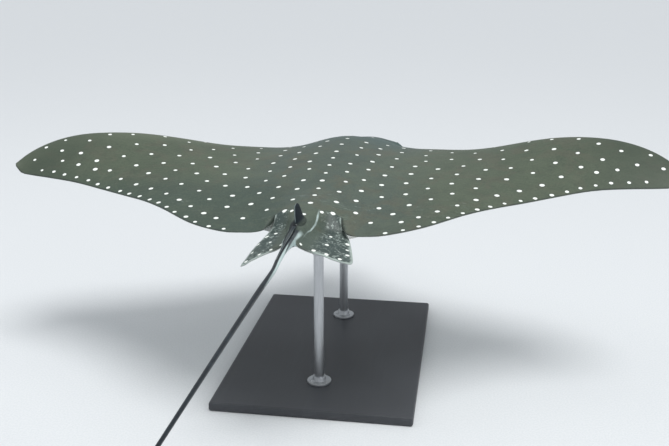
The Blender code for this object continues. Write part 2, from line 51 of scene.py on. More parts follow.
ray = {
    "discWidth": 1.50, "glideHeight": 0.42, "balance": 0.33, "edge": 0.0005,
    "foreMargin": (
        (0.0, 0.100), (0.100, 0.108), (0.12, 0.120), (0.15, 0.138), (0.20, 0.168), (0.26, 0.200),
        (0.32, 0.230), (0.38, 0.258), (0.43, 0.283), (0.47, 0.314), (0.49, 0.340), (0.50, 0.372)),
    "aftMargin": (
        (0.0, 0.578), (0.095, 0.577), (0.12, 0.572), (0.15, 0.560), (0.20, 0.522), (0.26, 0.473),
        (0.32, 0.438), (0.38, 0.416), (0.43, 0.404), (0.47, 0.393), (0.49, 0.385), (0.50, 0.372)),
    "headWidth": (
        (0.0, 0.0), (0.002, 0.012), (0.006, 0.021), (0.013, 0.031), (0.023, 0.040), (0.035, 0.0465),
        (0.047, 0.052), (0.056, 0.061), (0.066, 0.074), (0.080, 0.0835), (0.095, 0.088), (0.104, 0.093),
        (0.110, 0.105)),
    "tailWidth": ((0.602, 0.0098), (0.630, 0.0064), (0.660, 0.0043)),
    "headEnd": 0.110, "tipAft": 0.372,
    "back": (
        (0.0, 0.0), (0.004, 0.0035), (0.02, 0.0078), (0.04, 0.012), (0.055, 0.020), (0.075, 0.0322),
        (0.10, 0.0378), (0.15, 0.0440), (0.20, 0.0463), (0.27, 0.0454), (0.34, 0.0407), (0.42, 0.033),
        (0.50, 0.025), (0.56, 0.018), (0.60, 0.0120), (0.63, 0.0070), (0.66, 0.0043)),
    "belly": (
        (0.0, 0.0), (0.004, 0.0055), (0.02, 0.011), (0.05, 0.022), (0.08, 0.036), (0.15, 0.053),
        (0.25, 0.063), (0.35, 0.060), (0.45, 0.046), (0.52, 0.031), (0.58, 0.015), (0.62, 0.0074),
        (0.66, 0.0043)),
    "swellWidth": (
        (0.0, 0.081), (0.10, 0.095), (0.14, 0.138), (0.20, 0.194), (0.28, 0.217), (0.36, 0.208),
        (0.44, 0.175), (0.50, 0.130), (0.56, 0.060), (0.60, 0.020), (0.66, 0.010)),
    "backFall": (
        (0.0, 0.5), (0.09, 0.5), (0.13, 1.2), (0.20, 2.6), (0.40, 2.4), (0.50, 1.8), (0.56, 0.9),
        (0.60, 0.5)),
    "bellyFall": (
        (0.0, 0.5), (0.09, 0.5), (0.13, 0.8), (0.20, 1.2), (0.40, 1.2), (0.50, 3.0), (0.56, 2.2),
        (0.60, 0.8)),
    "blade": ((0.0, 0.0575), (0.1, 0.0505), (0.2, 0.0345), (0.3, 0.022), (0.4, 0.0126), (0.5, 0.007)),
    "tailLift": ((0.45, 0.0), (0.60, 0.010), (0.66, 0.012)), "liftReach": 0.045,
}

# slope of each wing along its span and the dip of its hind edge, in degrees; 1 is the left wing
wingBeat = {
    "slope": {
        1: ((0.03, 0.0), (0.1, 5.6), (0.2, 9.3), (0.3, 9.0), (0.4, 1.7), (0.5, -23.4)),
        -1: ((0.03, 0.0), (0.1, 10.1), (0.2, 9.5), (0.3, 13.9), (0.4, 2.7), (0.5, -26.9))},
    "twist": {
        1: ((0.08, 0.0), (0.2, 1.6), (0.35, 14.6), (0.5, 27.0)),
        -1: ((0.08, 0.0), (0.2, 0.9), (0.35, 13.3), (0.5, 28.8))},
    "twistAxis": 0.4, "start": (0.09, 0.17), "samples": 60,
    "sway": (  # to the left: the head turns a little to the right
        (0.0, -0.0190), (0.045, -0.0155), (0.09, -0.0117), (0.14, -0.0075), (0.20, -0.0030), (0.28, 0.0),
        (0.50, 0.0), (0.55, 0.0010), (0.58, 0.0015), (0.60, 0.0028), (0.62, 0.0042), (0.66, 0.0050),
        (0.70, 0.0036), (0.74, 0.0014), (0.80, 0.0022), (1.10, 0.0013), (1.70, 0.012), (2.35, 0.034)),
    "swayFull": ((0.25, 0.085), (0.40, 0.010)), "swayEnd": ((0.25, 0.20), (0.40, 0.040)),
    "stretch": {1: 0.003, -1: 0.014}, "stretchSpan": (0.40, 0.5),
}


def smoothLine(place, stations):  # monotone cubic through the stations, so it never overshoots them
    xs, ys = np.array(stations, float).T
    steps = np.diff(xs)
    rises = np.diff(ys) / steps
    slopes = np.zeros_like(ys)
    slopes[0] = rises[0]
    slopes[-1] = rises[-1]
    for i in range(1, len(xs) - 1):
        if rises[i - 1] * rises[i] > 0:
            ahead = 2 * steps[i] + steps[i - 1]
            behind = steps[i] + 2 * steps[i - 1]
            slopes[i] = (ahead + behind) / (ahead / rises[i - 1] + behind / rises[i])
    x = np.clip(place, xs[0], xs[-1])
    i = np.clip(np.searchsorted(xs, x, side="right") - 1, 0, len(xs) - 2)
    t = (x - xs[i]) / steps[i]
    start = ys[i] * (1 + 2 * t) * (1 - t) ** 2 + steps[i] * slopes[i] * t * (1 - t) ** 2
    end = ys[i + 1] * t * t * (3 - 2 * t) + steps[i] * slopes[i + 1] * t * t * (t - 1)
    return start + end


def eased(x, low, high):
    t = np.clip((np.asarray(x, float) - low) / (high - low), 0.0, 1.0)
    return t * t * (3 - 2 * t)


def at(place, stations):  # the line's value at one place
    return float(smoothLine(place, stations))


def eitherSide(xs, place, tables):  # a value from the left or the right side's table, by where x lies
    return np.where(xs > 0, smoothLine(place, tables[1]), smoothLine(place, tables[-1]))


def mixed(a, b, share):
    return a * (1 - share) + b * share


def bell(value, middle, wide):  # 1 at the middle, falling off to both sides
    return np.exp(-(((value - middle) / wide) ** 2))


spanGrid = np.linspace(0.0, 0.5, 1001)
foreGrid = smoothLine(spanGrid, ray["foreMargin"])
aftGrid = smoothLine(spanGrid, ray["aftMargin"])


def halfWidth(aft):  # from the midline to the outline of the head and wings
    aft = np.asarray(aft, float)
    head = smoothLine(aft, ray["headWidth"])
    front = np.interp(aft, foreGrid, spanGrid)
    rear = np.interp(-aft, -aftGrid, spanGrid)
    return np.where(aft <= ray["headEnd"], head, np.where(aft <= ray["tipAft"], front, rear))


def bladeHeight(span, aft):  # half thickness of the wing, round in front and thin behind
    fore = smoothLine(span, ray["foreMargin"])
    chord = smoothLine(span, ray["aftMargin"]) - fore
    c = np.clip((aft - fore) / np.maximum(chord, 1e-4), 0.0, 1.0)
    section = 5 * (0.2969 * np.sqrt(c) - 0.126 * c - 0.3516 * c**2 + 0.2843 * c**3 - 0.1036 * c**4)
    return smoothLine(span, ray["blade"]) * np.maximum(section, 0.0)


def bodyHeight(span, aft, side, width):  # over the wing plane, on the back (side 1) or belly (-1)
    depth = smoothLine(aft, ray["back" if side > 0 else "belly"])
    fall = smoothLine(aft, ray["backFall" if side > 0 else "bellyFall"])
    reach = np.minimum(smoothLine(aft, ray["swellWidth"]), width)
    swell = depth * np.clip(1 - (span / reach) ** 2, 0.0, 1.0) ** fall
    height = (swell**3 + bladeHeight(span, aft) ** 3) ** (1 / 3)
    lift = smoothLine(aft, ray["tailLift"]) * bell(span, 0.0, ray["liftReach"])
    return side * (height + ray["edge"]) + lift


def creased(span, aft, side, width):  # the body's height with the fold that leads to each notch
    deep = loft["creaseDeep"] * eased(aft, *loft["creaseStart"]) * (1 - eased(aft, *loft["creaseEnd"]))
    line = smoothLine(aft, loft["crease"])
    return bodyHeight(span, aft, side, width) - side * deep * bell(span, line, loft["creaseWide"])


def beaten(flat):  # flat points, in metres, carried into the wing beat and the world
    x, aft, height = (flat / ray["discWidth"]).T
    swayFull, swayEnd = smoothLine(aft, wingBeat["swayFull"]), smoothLine(aft, wingBeat["swayEnd"])
    x = x + smoothLine(aft, wingBeat["sway"]) * (1 - eased(np.abs(x), swayFull, swayEnd))
    side = np.where(x >= 0, 1.0, -1.0)
    span = np.abs(x)
    held = eased(aft, *wingBeat["start"])
    steps = span[:, None] * np.linspace(0.0, 1.0, wingBeat["samples"])
    slopes = np.radians(eitherSide(side[:, None], steps, wingBeat["slope"])) * held[:, None]
    middles = (slopes[:, 1:] + slopes[:, :-1]) / 2
    out = np.cos(middles).mean(1) * span
    out = out + np.where(side > 0, *wingBeat["stretch"].values()) * eased(span, *wingBeat["stretchSpan"])
    up = np.sin(middles).mean(1) * span
    twist = np.radians(eitherSide(side, span, wingBeat["twist"])) * held
    fore = smoothLine(span, ray["foreMargin"])
    axis = fore + wingBeat["twistAxis"] * (smoothLine(span, ray["aftMargin"]) - fore)
    behind = aft - axis
    dipped = height * np.cos(twist) - behind * np.sin(twist)
    along = axis + behind * np.cos(twist) + height * np.sin(twist)
    out = out - dipped * np.sin(slopes[:, -1])
    up = up + dipped * np.cos(slopes[:, -1])
    world = np.stack([side * out, along - ray["balance"], up], 1) * ray["discWidth"]
    world[:, 2] += ray["glideHeight"]
    return world


# ---- skin: one loft from the snout to the tip of the tail, which parts round the notches beside the tail

loft = {
    "wingColumns": 46, "pelvicColumns": 16, "tailColumns": 20,
    "bands": (  # (start, end, number of sections), closer where the outline turns
        (0.0003, 0.004, 4), (0.004, 0.050, 26), (0.050, 0.090, 34), (0.090, 0.116, 14), (0.116, 0.220, 28),
        (0.220, 0.310, 16), (0.310, 0.420, 28), (0.420, 0.495, 16), (0.495, 0.532, 12)),
    "wingSplit": 0.532, "lobeSections": 22, "lobeEnd": 0.5768,
    "finSplit": 0.630, "beforeFinSplit": 20, "finSections": 18, "finEnd": {1: 0.6460, -1: 0.6412},
    "tailStart": 0.660, "rootSections": 24,
    "wingRoot": (
        (0.0, 0.034), (0.060, 0.034), (0.106, 0.045), (0.15, 0.080), (0.20, 0.100), (0.30, 0.112),
        (0.39, 0.100), (0.45, 0.074), (0.495, 0.0530), (0.532, 0.0445)),
    "tailRoot": (
        (0.0, 0.030), (0.30, 0.030), (0.495, 0.018), (0.532, 0.0150), (0.602, 0.0098), (0.630, 0.0064)),
    "headTailHalf": 0.35, "headWingHalf": 0.8,  # shares of the width, where the head is too narrow for them
    "innerMargin": (
        (0.532, 0.0445), (0.548, 0.0475), (0.560, 0.0525), (0.569, 0.0590), (0.5745, 0.0680),
        (0.5768, 0.0780)),
    "crease": ((0.490, 0.0330), (0.532, 0.0445)), "creaseDeep": 0.0022, "creaseWide": 0.0055,
    "creaseStart": (0.497, 0.532), "creaseEnd": (0.536, 0.552),
    "drawTogether": 0.47, "tailRounds": 0.59,  # where the columns begin to crowd at the notch and the tail
    # how far behind the notch each change is complete, then how wide the new edges' rounding is
    "trunkFade": 0.034, "edgeFade": 0.026, "lipFade": 0.025, "marginFade": 0.020, "sheetFade": 0.016,
    "trunkRim": (0.002, 0.012), "lobeRim": (0.0015, 0.020), "finRim": 0.004,
    "lipRise": 0.0008, "lipReach": 0.03,
}

pelvicFin = {  # the left fin under 1 and the right one under -1; outer and hind run aft, the rest outward
    "outer": {
        1: (
            (0.532, 0.0445), (0.5548, 0.0464), (0.5822, 0.0512), (0.5951, 0.0559), (0.6095, 0.0599),
            (0.6256, 0.0621), (0.640, 0.0631), (0.6460, 0.0625)),
        -1: (
            (0.532, 0.0445), (0.540, 0.0462), (0.5513, 0.0529), (0.5671, 0.0593), (0.5883, 0.0642),
            (0.6106, 0.0682), (0.6345, 0.0714), (0.6385, 0.0711), (0.6412, 0.0685))},
    "hind": {
        1: (
            (0.630, 0.0064), (0.6340, 0.0110), (0.6355, 0.0179), (0.6379, 0.0264), (0.6401, 0.0375),
            (0.6422, 0.0445), (0.6442, 0.0514), (0.6455, 0.0572), (0.6460, 0.0612)),
        -1: (
            (0.630, 0.0064), (0.6335, 0.0120), (0.6350, 0.0200), (0.6365, 0.0290), (0.6375, 0.0329),
            (0.6394, 0.0471), (0.6409, 0.0605), (0.6412, 0.0655))},
    "dip": {
        1: (
            (0.010, -0.002), (0.026, -0.0015), (0.0375, -0.0046), (0.0446, -0.0081), (0.0515, -0.0116),
            (0.0572, -0.0159), (0.0632, -0.0190)),
        -1: (
            (0.010, -0.001), (0.018, 0.0), (0.033, -0.0008), (0.047, -0.0053), (0.061, -0.0100),
            (0.0715, -0.0125))},
    "thick": ((0.010, 0.0050), (0.03, 0.0036), (0.068, 0.0014)), "liftReach": 0.016,
    "droop": {1: (0.54, 0.64), -1: (0.52, 0.60)},
    "trunkSide": (
        (0.495, 0.041), (0.52, 0.035), (0.56, 0.0235), (0.60, 0.0130), (0.63, 0.0086), (0.66, 0.0070)),
}


def outward(stations):  # the same line read from the midline out
    return tuple((span, aft) for aft, span in stations)


finRoot = ((0.0095, 0.48), (0.034, 0.49))
pelvicFin["fore"] = {
    1: (*finRoot, *outward(pelvicFin["outer"][1][1:5]), (0.0632, 0.6330)),
    -1: (*finRoot, *outward(pelvicFin["outer"][-1][1:6]), (0.0715, 0.6345))}
pelvicFin["aft"] = {
    1: (
        (0.0095, 0.6335), (0.0179, 0.6353), *outward(pelvicFin["hind"][1][3:8]), (0.0627, 0.6460),
        (0.0632, 0.6445)),
    -1: (
        (0.0095, 0.6335), *outward(pelvicFin["hind"][-1][2:3]), *outward(pelvicFin["hind"][-1][4:6]),
        (0.0613, 0.6409), (0.0690, 0.6410), (0.0715, 0.6375))}


class Loft:  # gathers the points and faces of a closed skin, as rows over the back and under the belly
    def __init__(self):
        self.points = []
        self.faces = []
        self.kinds = []  # 0 body, wings and dorsal fin, 1 pelvic fins and what lies between them, 2 tail
        self.kind = 0

    def row(self, points):
        first = len(self.points)
        self.points.extend(points)
        self.kinds.extend([self.kind] * len(points))
        return list(range(first, first + len(points)))

    def section(self, xs, aft, tops, bottoms):
        upper = self.row([(x, aft, z) for x, z in zip(xs, tops)])
        lower = self.row([(x, aft, z) for x, z in zip(xs, bottoms)])
        return upper, lower

    def join(self, first, second):
        (u1, l1), (u2, l2) = first, second
        for j in range(len(u1) - 1):
            self.faces.append((u1[j], u1[j + 1], u2[j + 1], u2[j]))
            self.faces.append((l1[j + 1], l1[j], l2[j], l2[j + 1]))
        self.faces.append((u1[0], u2[0], l2[0], l1[0]))
        self.faces.append((u1[-1], l1[-1], l2[-1], u2[-1]))

    def carry(self, rows, sections):  # joins each section to the one before it and returns the last
        for following in sections:
            self.join(rows, following)
            rows = following
        return rows

    def close(self, rows):
        upper, lower = rows
        for j in range(len(upper) - 1):
            self.faces.append((upper[j], upper[j + 1], lower[j + 1], lower[j]))


def part(rows, start, end):  # a stretch of a section's columns
    return rows[0][start:end + 1], rows[1][start:end + 1]


def rounded(share):  # 0 at an edge and 1 well inside it, along a quarter circle
    share = np.clip(share, 0.0, 1.0)
    return np.sqrt(1 - (1 - share) ** 2)


def crowded(share):  # spacing from 0 to 1 that is close at both ends
    return (1 - np.cos(share * math.pi)) / 2


def columnsAcross(tailHalf, finHalf, wingHalf, afterWings, afterFins):
    # places across one section: right wing, right fin, tail, left fin, left wing
    t = np.linspace(0.0, 1.0, loft["wingColumns"] + 1)
    wing = finHalf + (wingHalf - finHalf) * mixed(np.sin(t * math.pi / 2), crowded(t), afterWings)
    t = np.linspace(0.0, 1.0, loft["pelvicColumns"] + 1)
    fin = tailHalf + (finHalf - tailHalf) * mixed(t, np.sin(t * math.pi / 2), afterWings)
    t = np.linspace(-1.0, 1.0, loft["tailColumns"] + 1)
    tail = tailHalf * mixed(t, np.sin(t * math.pi / 2), afterFins)
    return np.concatenate([-wing[:0:-1], -fin[:0:-1], tail, fin[1:], wing[1:]])


def columnsBetween(inner, outer, count, side):
    xs = inner + (outer - inner) * crowded(np.linspace(0.0, 1.0, count + 1))
    return xs if side > 0 else -xs[::-1]


def pastNotch(aft, name):  # 0 at the wings' notch, growing to 1 behind it
    return eased(aft, loft["wingSplit"], loft["wingSplit"] + loft[name])


def edgeWidth(aft, name):  # how far the rounding of a new edge reaches in
    start, growth = loft[name]
    return start + growth * pastNotch(aft, "edgeFade")


def finPlane(xs, aft):  # height of the pelvic fin's middle sheet and half its thickness
    span = np.abs(xs)
    fore = eitherSide(xs, span, pelvicFin["fore"])
    c = np.clip((aft - fore) / (eitherSide(xs, span, pelvicFin["aft"]) - fore), 0.0, 1.0)
    thick = smoothLine(span, pelvicFin["thick"]) * np.sqrt(np.clip(4 * c * (1 - c), 0.0, 1.0))
    lift = smoothLine(aft, ray["tailLift"]) * bell(span, 0.0, pelvicFin["liftReach"])
    droop = np.where(xs > 0, *[eased(aft, *pelvicFin["droop"][side]) for side in (1, -1)])
    return lift + eitherSide(xs, span, pelvicFin["dip"]) * droop, thick + ray["edge"]


def middleHeights(xs, aft):  # trunk's end, tail root and pelvic fins behind the wings' notch
    span = np.abs(xs)
    outer = eitherSide(xs, aft, pelvicFin["outer"])
    middle, thick = finPlane(xs, aft)
    width = float(halfWidth(aft)) if aft < loft["lobeEnd"] else 0.09
    across = at(aft, pelvicFin["trunkSide"])
    fall = mixed(1.0, np.sqrt(np.clip(1 - (span / across) ** 2, 0.0, 1.0)), pastNotch(aft, "trunkFade"))
    margin = mixed(1.0, rounded((outer - span) / edgeWidth(aft, "trunkRim")), pastNotch(aft, "marginFade"))
    sheet = pastNotch(aft, "sheetFade")  # the fin's own sheet takes over behind the notch
    middle, thick = middle * sheet, mixed(ray["edge"], thick, sheet)
    heights = []
    for side in (1, -1):
        body = np.maximum(side * (creased(span, aft, side, width) - middle), 0.0) * fall
        body = (body**5 + thick**5) ** 0.2
        heights.append(middle + side * (ray["edge"] + (body - ray["edge"]) * margin))
    return heights


def lobeHeights(xs, aft, inner):  # free rear lobe of a wing, thin at its inner margin
    span = np.abs(xs)
    width = float(halfWidth(aft))
    margin = mixed(1.0, rounded((span - inner) / edgeWidth(aft, "lobeRim")), pastNotch(aft, "marginFade"))
    raised = loft["lipRise"] * pastNotch(aft, "lipFade") * (1 - eased(span - inner, 0.0, loft["lipReach"]))
    tops, bottoms = [creased(span, aft, side, width) for side in (1, -1)]
    middle = (tops + bottoms) / 2 * (1 - margin) + raised
    return middle + tops * margin, middle + bottoms * margin


def tailHeights(xs, aft):
    width = at(aft, ray["tailWidth"])
    return [bodyHeight(np.abs(xs), aft, side, width) for side in (1, -1)]


def sectionBeforeWings(skin, aft):
    wingHalf = float(halfWidth(aft))
    wingRoot = min(loft["headWingHalf"] * wingHalf, at(aft, loft["wingRoot"]))
    tailRoot = min(loft["headTailHalf"] * wingRoot, at(aft, loft["tailRoot"]))
    split = eased(aft, loft["drawTogether"], loft["wingSplit"])
    xs = columnsAcross(tailRoot, wingRoot, wingHalf, split, 0.0)
    return skin.section(xs, aft, *[creased(np.abs(xs), aft, side, wingHalf) for side in (1, -1)])


def sectionOfMiddle(skin, aft):
    half = loft["pelvicColumns"] + loft["tailColumns"] // 2
    xs = []
    for side in (-1, 1):
        outer = at(aft, pelvicFin["outer"][side])
        afterFins = eased(aft, loft["tailRounds"], loft["finSplit"])
        across = columnsAcross(at(aft, loft["tailRoot"]), outer, outer, 1.0, afterFins)
        across = across[loft["wingColumns"]:-loft["wingColumns"]]
        xs.extend(across[:half] if side < 0 else across[half:])
    xs = np.array(xs)
    return skin.section(xs, aft, *middleHeights(xs, aft))


def sectionOfLobe(skin, aft, side):
    inner = at(aft, loft["innerMargin"])
    xs = columnsBetween(inner, float(halfWidth(aft)), loft["wingColumns"], side)
    return skin.section(xs, aft, *lobeHeights(xs, aft, inner))


def sectionOfFin(skin, aft, side):
    inner, outer = [at(aft, pelvicFin[name][side]) for name in ("hind", "outer")]
    xs = columnsBetween(inner, outer, loft["pelvicColumns"], side)
    middle, thick = finPlane(xs, aft)
    edge = rounded(np.minimum(np.abs(xs) - inner, outer - np.abs(xs)) / loft["finRim"])
    thick = mixed(ray["edge"], thick, edge)
    return skin.section(xs, aft, middle + thick, middle - thick)


def sectionOfTail(skin, aft):
    t = np.linspace(-1.0, 1.0, loft["tailColumns"] + 1)
    xs = at(aft, ray["tailWidth"]) * np.sin(t * math.pi / 2)
    return skin.section(xs, aft, *tailHeights(xs, aft))


def stationsBetween(start, end, count):  # the start itself is left out
    return np.linspace(start, end, count + 1)[1:]


def loftBody(skin):
    n, p, t = loft["wingColumns"], loft["pelvicColumns"], loft["tailColumns"]
    notch, finSplit = loft["wingSplit"], loft["finSplit"]
    snout = sectionBeforeWings(skin, loft["bands"][0][0])
    skin.close(snout)
    stations = [aft for band in loft["bands"] for aft in stationsBetween(*band)]
    split = skin.carry(snout, (sectionBeforeWings(skin, aft) for aft in stations))
    for side, start in ((-1, 0), (1, n + 2 * p + t)):  # the wings' free rear lobes
        stations = stationsBetween(notch, loft["lobeEnd"], loft["lobeSections"])
        rows = part(split, start, start + n)
        skin.close(skin.carry(rows, (sectionOfLobe(skin, aft, side) for aft in stations)))
    skin.kind = 1  # the trunk's end, with the roots of the pelvic fins
    stations = stationsBetween(notch, finSplit, loft["lobeSections"] + loft["beforeFinSplit"])
    split = skin.carry(part(split, n, n + 2 * p + t), (sectionOfMiddle(skin, aft) for aft in stations))
    for side, start in ((-1, 0), (1, p + t)):  # the pelvic fins' hind lobes
        stations = stationsBetween(finSplit, loft["finEnd"][side], loft["finSections"])
        rows = part(split, start, start + p)
        skin.close(skin.carry(rows, (sectionOfFin(skin, aft, side) for aft in stations)))
    skin.kind = 2  # the root of the tail
    stations = stationsBetween(finSplit, loft["tailStart"], loft["rootSections"])
    return skin.carry(part(split, p, p + t), (sectionOfTail(skin, aft) for aft in stations))


tailWhip = {
    "end": 2.35, "point": 0.001, "step": 0.008, "sides": 20,
    "radius": (
        (0.66, 0.0043), (0.70, 0.0035), (0.74, 0.0031), (0.81, 0.0029), (0.955, 0.0023), (1.08, 0.0018),
        (1.5, 0.0011), (2.35, 0.0006)),
    "rise": ((0.66, 0.012), (1.10, 0.017), (1.70, 0.010), (2.35, -0.012)),
}


def loftTail(skin, rows):  # half as many sides as the root of the tail has
    upper, lower = rows
    ring = upper + lower[::-1]
    sides = tailWhip["sides"]
    first = loft["tailStart"] + tailWhip["step"]
    stations = np.linspace(first, tailWhip["end"], round((tailWhip["end"] - first) / tailWhip["step"]) + 1)
    previous = None
    for aft in stations:
        radius, z = at(aft, tailWhip["radius"]), at(aft, tailWhip["rise"])
        turns = math.pi - 2 * math.pi * (np.arange(sides) / sides)
        following = skin.row([(radius * math.cos(a), aft, z + radius * math.sin(a)) for a in turns])
        if previous is None:
            stitch(skin, ring, following)
        else:
            for j in range(sides):
                k = (j + 1) % sides
                skin.faces.append((previous[j], previous[k], following[k], following[j]))
        previous = following
    tip = skin.row([(0.0, tailWhip["end"] + tailWhip["point"], z)])[0]
    for j in range(sides):
        skin.faces.append((previous[j], previous[(j + 1) % sides], tip))


def stitch(skin, ring, following):  # joins a ring to one with fewer points, by walking round both
    many, few = len(ring), len(following)
    i = j = 0
    while i < many or j < few:
        if j >= few or (i < many and (i + 1) / many <= (j + 1) / few):
            skin.faces.append((ring[i], ring[(i + 1) % many], following[j % few]))
            i += 1
        else:
            skin.faces.append((ring[i % many], following[(j + 1) % few], following[j]))
            j += 1


dorsalFin = {  # fore and aft edges and half thickness by height over the fin's base
    "fore": (
        (-0.012, 0.550), (0.0, 0.556), (0.014, 0.566), (0.030, 0.581), (0.0385, 0.5900), (0.0402, 0.5935),
        (0.041, 0.5980)),
    "aft": (
        (-0.012, 0.604), (0.0, 0.602), (0.014, 0.600), (0.030, 0.604), (0.0385, 0.6045), (0.0402, 0.6030),
        (0.041, 0.5992)),
    "thick": ((0.0, 0.0034), (0.037, 0.0014), (0.041, 0.0001)),
    "base": 0.010, "sunk": 0.010, "rise": 0.051, "loops": 36, "steps": 18,
    "flare": 0.0045, "flareFade": 0.0022,
}


def sectionOfDorsalFin(shell, height):
    fore = at(height, dorsalFin["fore"])
    c = crowded(np.linspace(0.0, 1.0, dorsalFin["steps"] + 1))
    afts = fore + c * (at(height, dorsalFin["aft"]) - fore)
    z = dorsalFin["base"] + height
    over = np.maximum(z - np.array([tailTop(a) for a in afts]), 0.0)
    flare = dorsalFin["flare"] * np.exp(-over / dorsalFin["flareFade"])
    thick = (smoothLine(height, dorsalFin["thick"]) + flare) * np.sqrt(4 * c * (1 - c)) + ray["edge"]
    return [shell.row([(side * w, a, z) for w, a in zip(thick, afts)]) for side in (1, -1)]


def dorsalFinShell():
    shell = Loft()
    turns = np.linspace(0.0, math.pi / 2, dorsalFin["loops"])
    heights = dorsalFin["rise"] * np.sin(turns) - dorsalFin["sunk"]
    base = sectionOfDorsalFin(shell, heights[0])
    shell.close(base)
    shell.close(shell.carry(base, (sectionOfDorsalFin(shell, height) for height in heights[1:])))
    return shell


def tailTop(aft):  # height of the back along the midline, behind the wings' notch
    if aft < loft["finSplit"]:
        return float(middleHeights(np.zeros(1), aft)[0][0])
    if aft < loft["tailStart"]:
        return float(tailHeights(np.zeros(1), aft)[0][0])
    return at(aft, tailWhip["rise"]) + at(aft, tailWhip["radius"])


def tidyNormals(mesh):
    bm = bmesh.new()
    bm.from_mesh(mesh)
    bmesh.ops.recalc_face_normals(bm, faces=bm.faces)
    for face in bm.faces:
        face.smooth = True
    bm.to_mesh(mesh)
    bm.free()


def newObject(name, data):
    thing = bpy.data.objects.new(name, data)
    bpy.context.scene.collection.objects.link(thing)
    return thing


def mark(mesh, name, values, domain="POINT"):  # keeps a number or a vector at each point for the finishes
    kind, key = ("FLOAT", "value") if values.ndim == 1 else ("FLOAT_VECTOR", "vector")
    mesh.attributes.new(name, kind, domain).data.foreach_set(key, values.astype(np.float32).ravel())


def pieceFrom(name, points, faces, material=None, sharp=None, **marks):  # sharp: edges over it stay crisp
    mesh = bpy.data.meshes.new(name)
    mesh.from_pydata([tuple(p) for p in points], [], faces)
    tidyNormals(mesh)
    if sharp:
        mesh.set_sharp_from_angle(angle=math.radians(sharp))
    if material:
        mesh.materials.append(material)
    for key, values in marks.items():
        mark(mesh, key, np.array(values, float))
    return newObject(name, mesh)


def applied(thing):  # the object's mesh with its modifiers worked in
    bpy.context.view_layer.update()
    made = bpy.data.meshes.new_from_object(thing.evaluated_get(bpy.context.evaluated_depsgraph_get()))
    thing.modifiers.clear()
    thing.data = made
    return made


def pointsOf(mesh):
    points = np.empty(len(mesh.vertices) * 3)
    mesh.vertices.foreach_get("co", points)
    return points.reshape(-1, 3)


def normalsOf(mesh):
    normals = np.empty(len(mesh.vertices) * 3)
    mesh.vertex_normals.foreach_get("vector", normals)
    return normals.reshape(-1, 3)


def movePoints(mesh, points):
    mesh.vertices.foreach_set("co", points.ravel())
    mesh.update()


def skinObject(name, shell):
    return pieceFrom(name, np.array(shell.points) * ray["discWidth"], shell.faces, kind=shell.kinds)


body = Loft()
loftTail(body, loftBody(body))
skin = skinObject("skin", body)
fin = skinObject("dorsalFin", dorsalFinShell())
union = skin.modifiers.new("fin", "BOOLEAN")
union.operation = "UNION"
union.solver = "EXACT"
union.object = fin
applied(skin)
bpy.data.objects.remove(fin)
print("skin lofted:", len(skin.data.polygons), "faces")

# ---- head, eyelids, mouth and gills, shaped on the flat skin

eye = {
    "place": (0.0665, 0.066, 0.004), "gaze": (0.73, -0.66, 0.14), "ball": 0.0094,
    "halfLength": 0.0076, "halfTop": 0.0056, "halfLow": 0.0064,  # the opening between the lids
    "lidTuck": 0.0012, "lidProud": 0.0011, "lidStart": 0.985, "lidEnd": 1.10,
    "browStart": 1.18, "browEnd": 2.1,
    # dark is painted shade inside the lids, out to darkReach
    "inwardMost": -0.007, "darkReach": 1.04, "dark": 0.9, "darkSkin": (1.25, 2.0),
}

spiracle = {
    "place": (0.0715, 0.0885), "long": (0.40, 0.92, 0.0), "half": (0.0074, 0.0043),
    "depth": 0.0065, "wall": (0.15, 1.0), "rim": 0.0009, "rimPlace": (1.22, 0.22), "reach": 0.011,
}

# how far up a normal points where a line can be drawn, and where the back begins; lastLine ends the lines
facing = {"turned": (0.05, 0.4), "backShare": (-0.20, 0.25), "lastLine": 0.62, "lipPlace": 2.1}

# lines drawn on the skin as (span, aft); a lift below nothing is a groove and one above it a ridge; dark is
# the painted shade laid in it
faceLines = {
    "mouth": {"under": True, "path": ((0, 0.0660), (0.012, 0.0663), (0.020, 0.0672), (0.0265, 0.0692)),
              "width": 0.0016, "lift": -0.0048, "lip": 0.0007, "dark": 1.0},
    "lowerLip": {"under": True, "path": ((0, 0.0712), (0.012, 0.0715), (0.022, 0.0728)),
                 "width": 0.0026, "lift": 0.0013, "lip": 0.0, "dark": 0.0},
    "nasalGroove": {"under": True, "path": ((0.0225, 0.0570), (0.0245, 0.0625), (0.0262, 0.0685)),
                    "width": 0.0011, "lift": -0.0018, "lip": 0.0005, "dark": 0.5},
    "billBelow": {"under": True, "path": ((0, 0.0405), (0.020, 0.0425), (0.036, 0.0470), (0.050, 0.0560)),
                  "width": 0.0052, "lift": -0.0032, "lip": 0.0006, "dark": 0.0},
    "billAbove": {"under": False, "path": ((0, 0.0450), (0.022, 0.0465), (0.038, 0.0500), (0.050, 0.0560)),
                  "width": 0.0058, "lift": -0.0024, "lip": 0.0006, "dark": 0.0},
    "brow": {"under": False, "path": ((0.050, 0.0600), (0.062, 0.0740), (0.069, 0.0900)),
             "width": 0.0075, "lift": 0.0016, "lip": 0.0, "dark": 0.0},
    "crown": {"under": False, "path": ((0, 0.064), (0, 0.118)),
              "width": 0.020, "lift": -0.0024, "lip": 0.0, "dark": 0.0},
    "backbone": {"under": False, "path": ((0, 0.150), (0, 0.500)),
                 "width": 0.0085, "lift": 0.0008, "lip": 0.0, "dark": 0.0},
    "vent": {"under": True, "path": ((0, 0.5495), (0, 0.5610)),
             "width": 0.0018, "lift": -0.0030, "lip": 0.0009, "dark": 0.8},
}

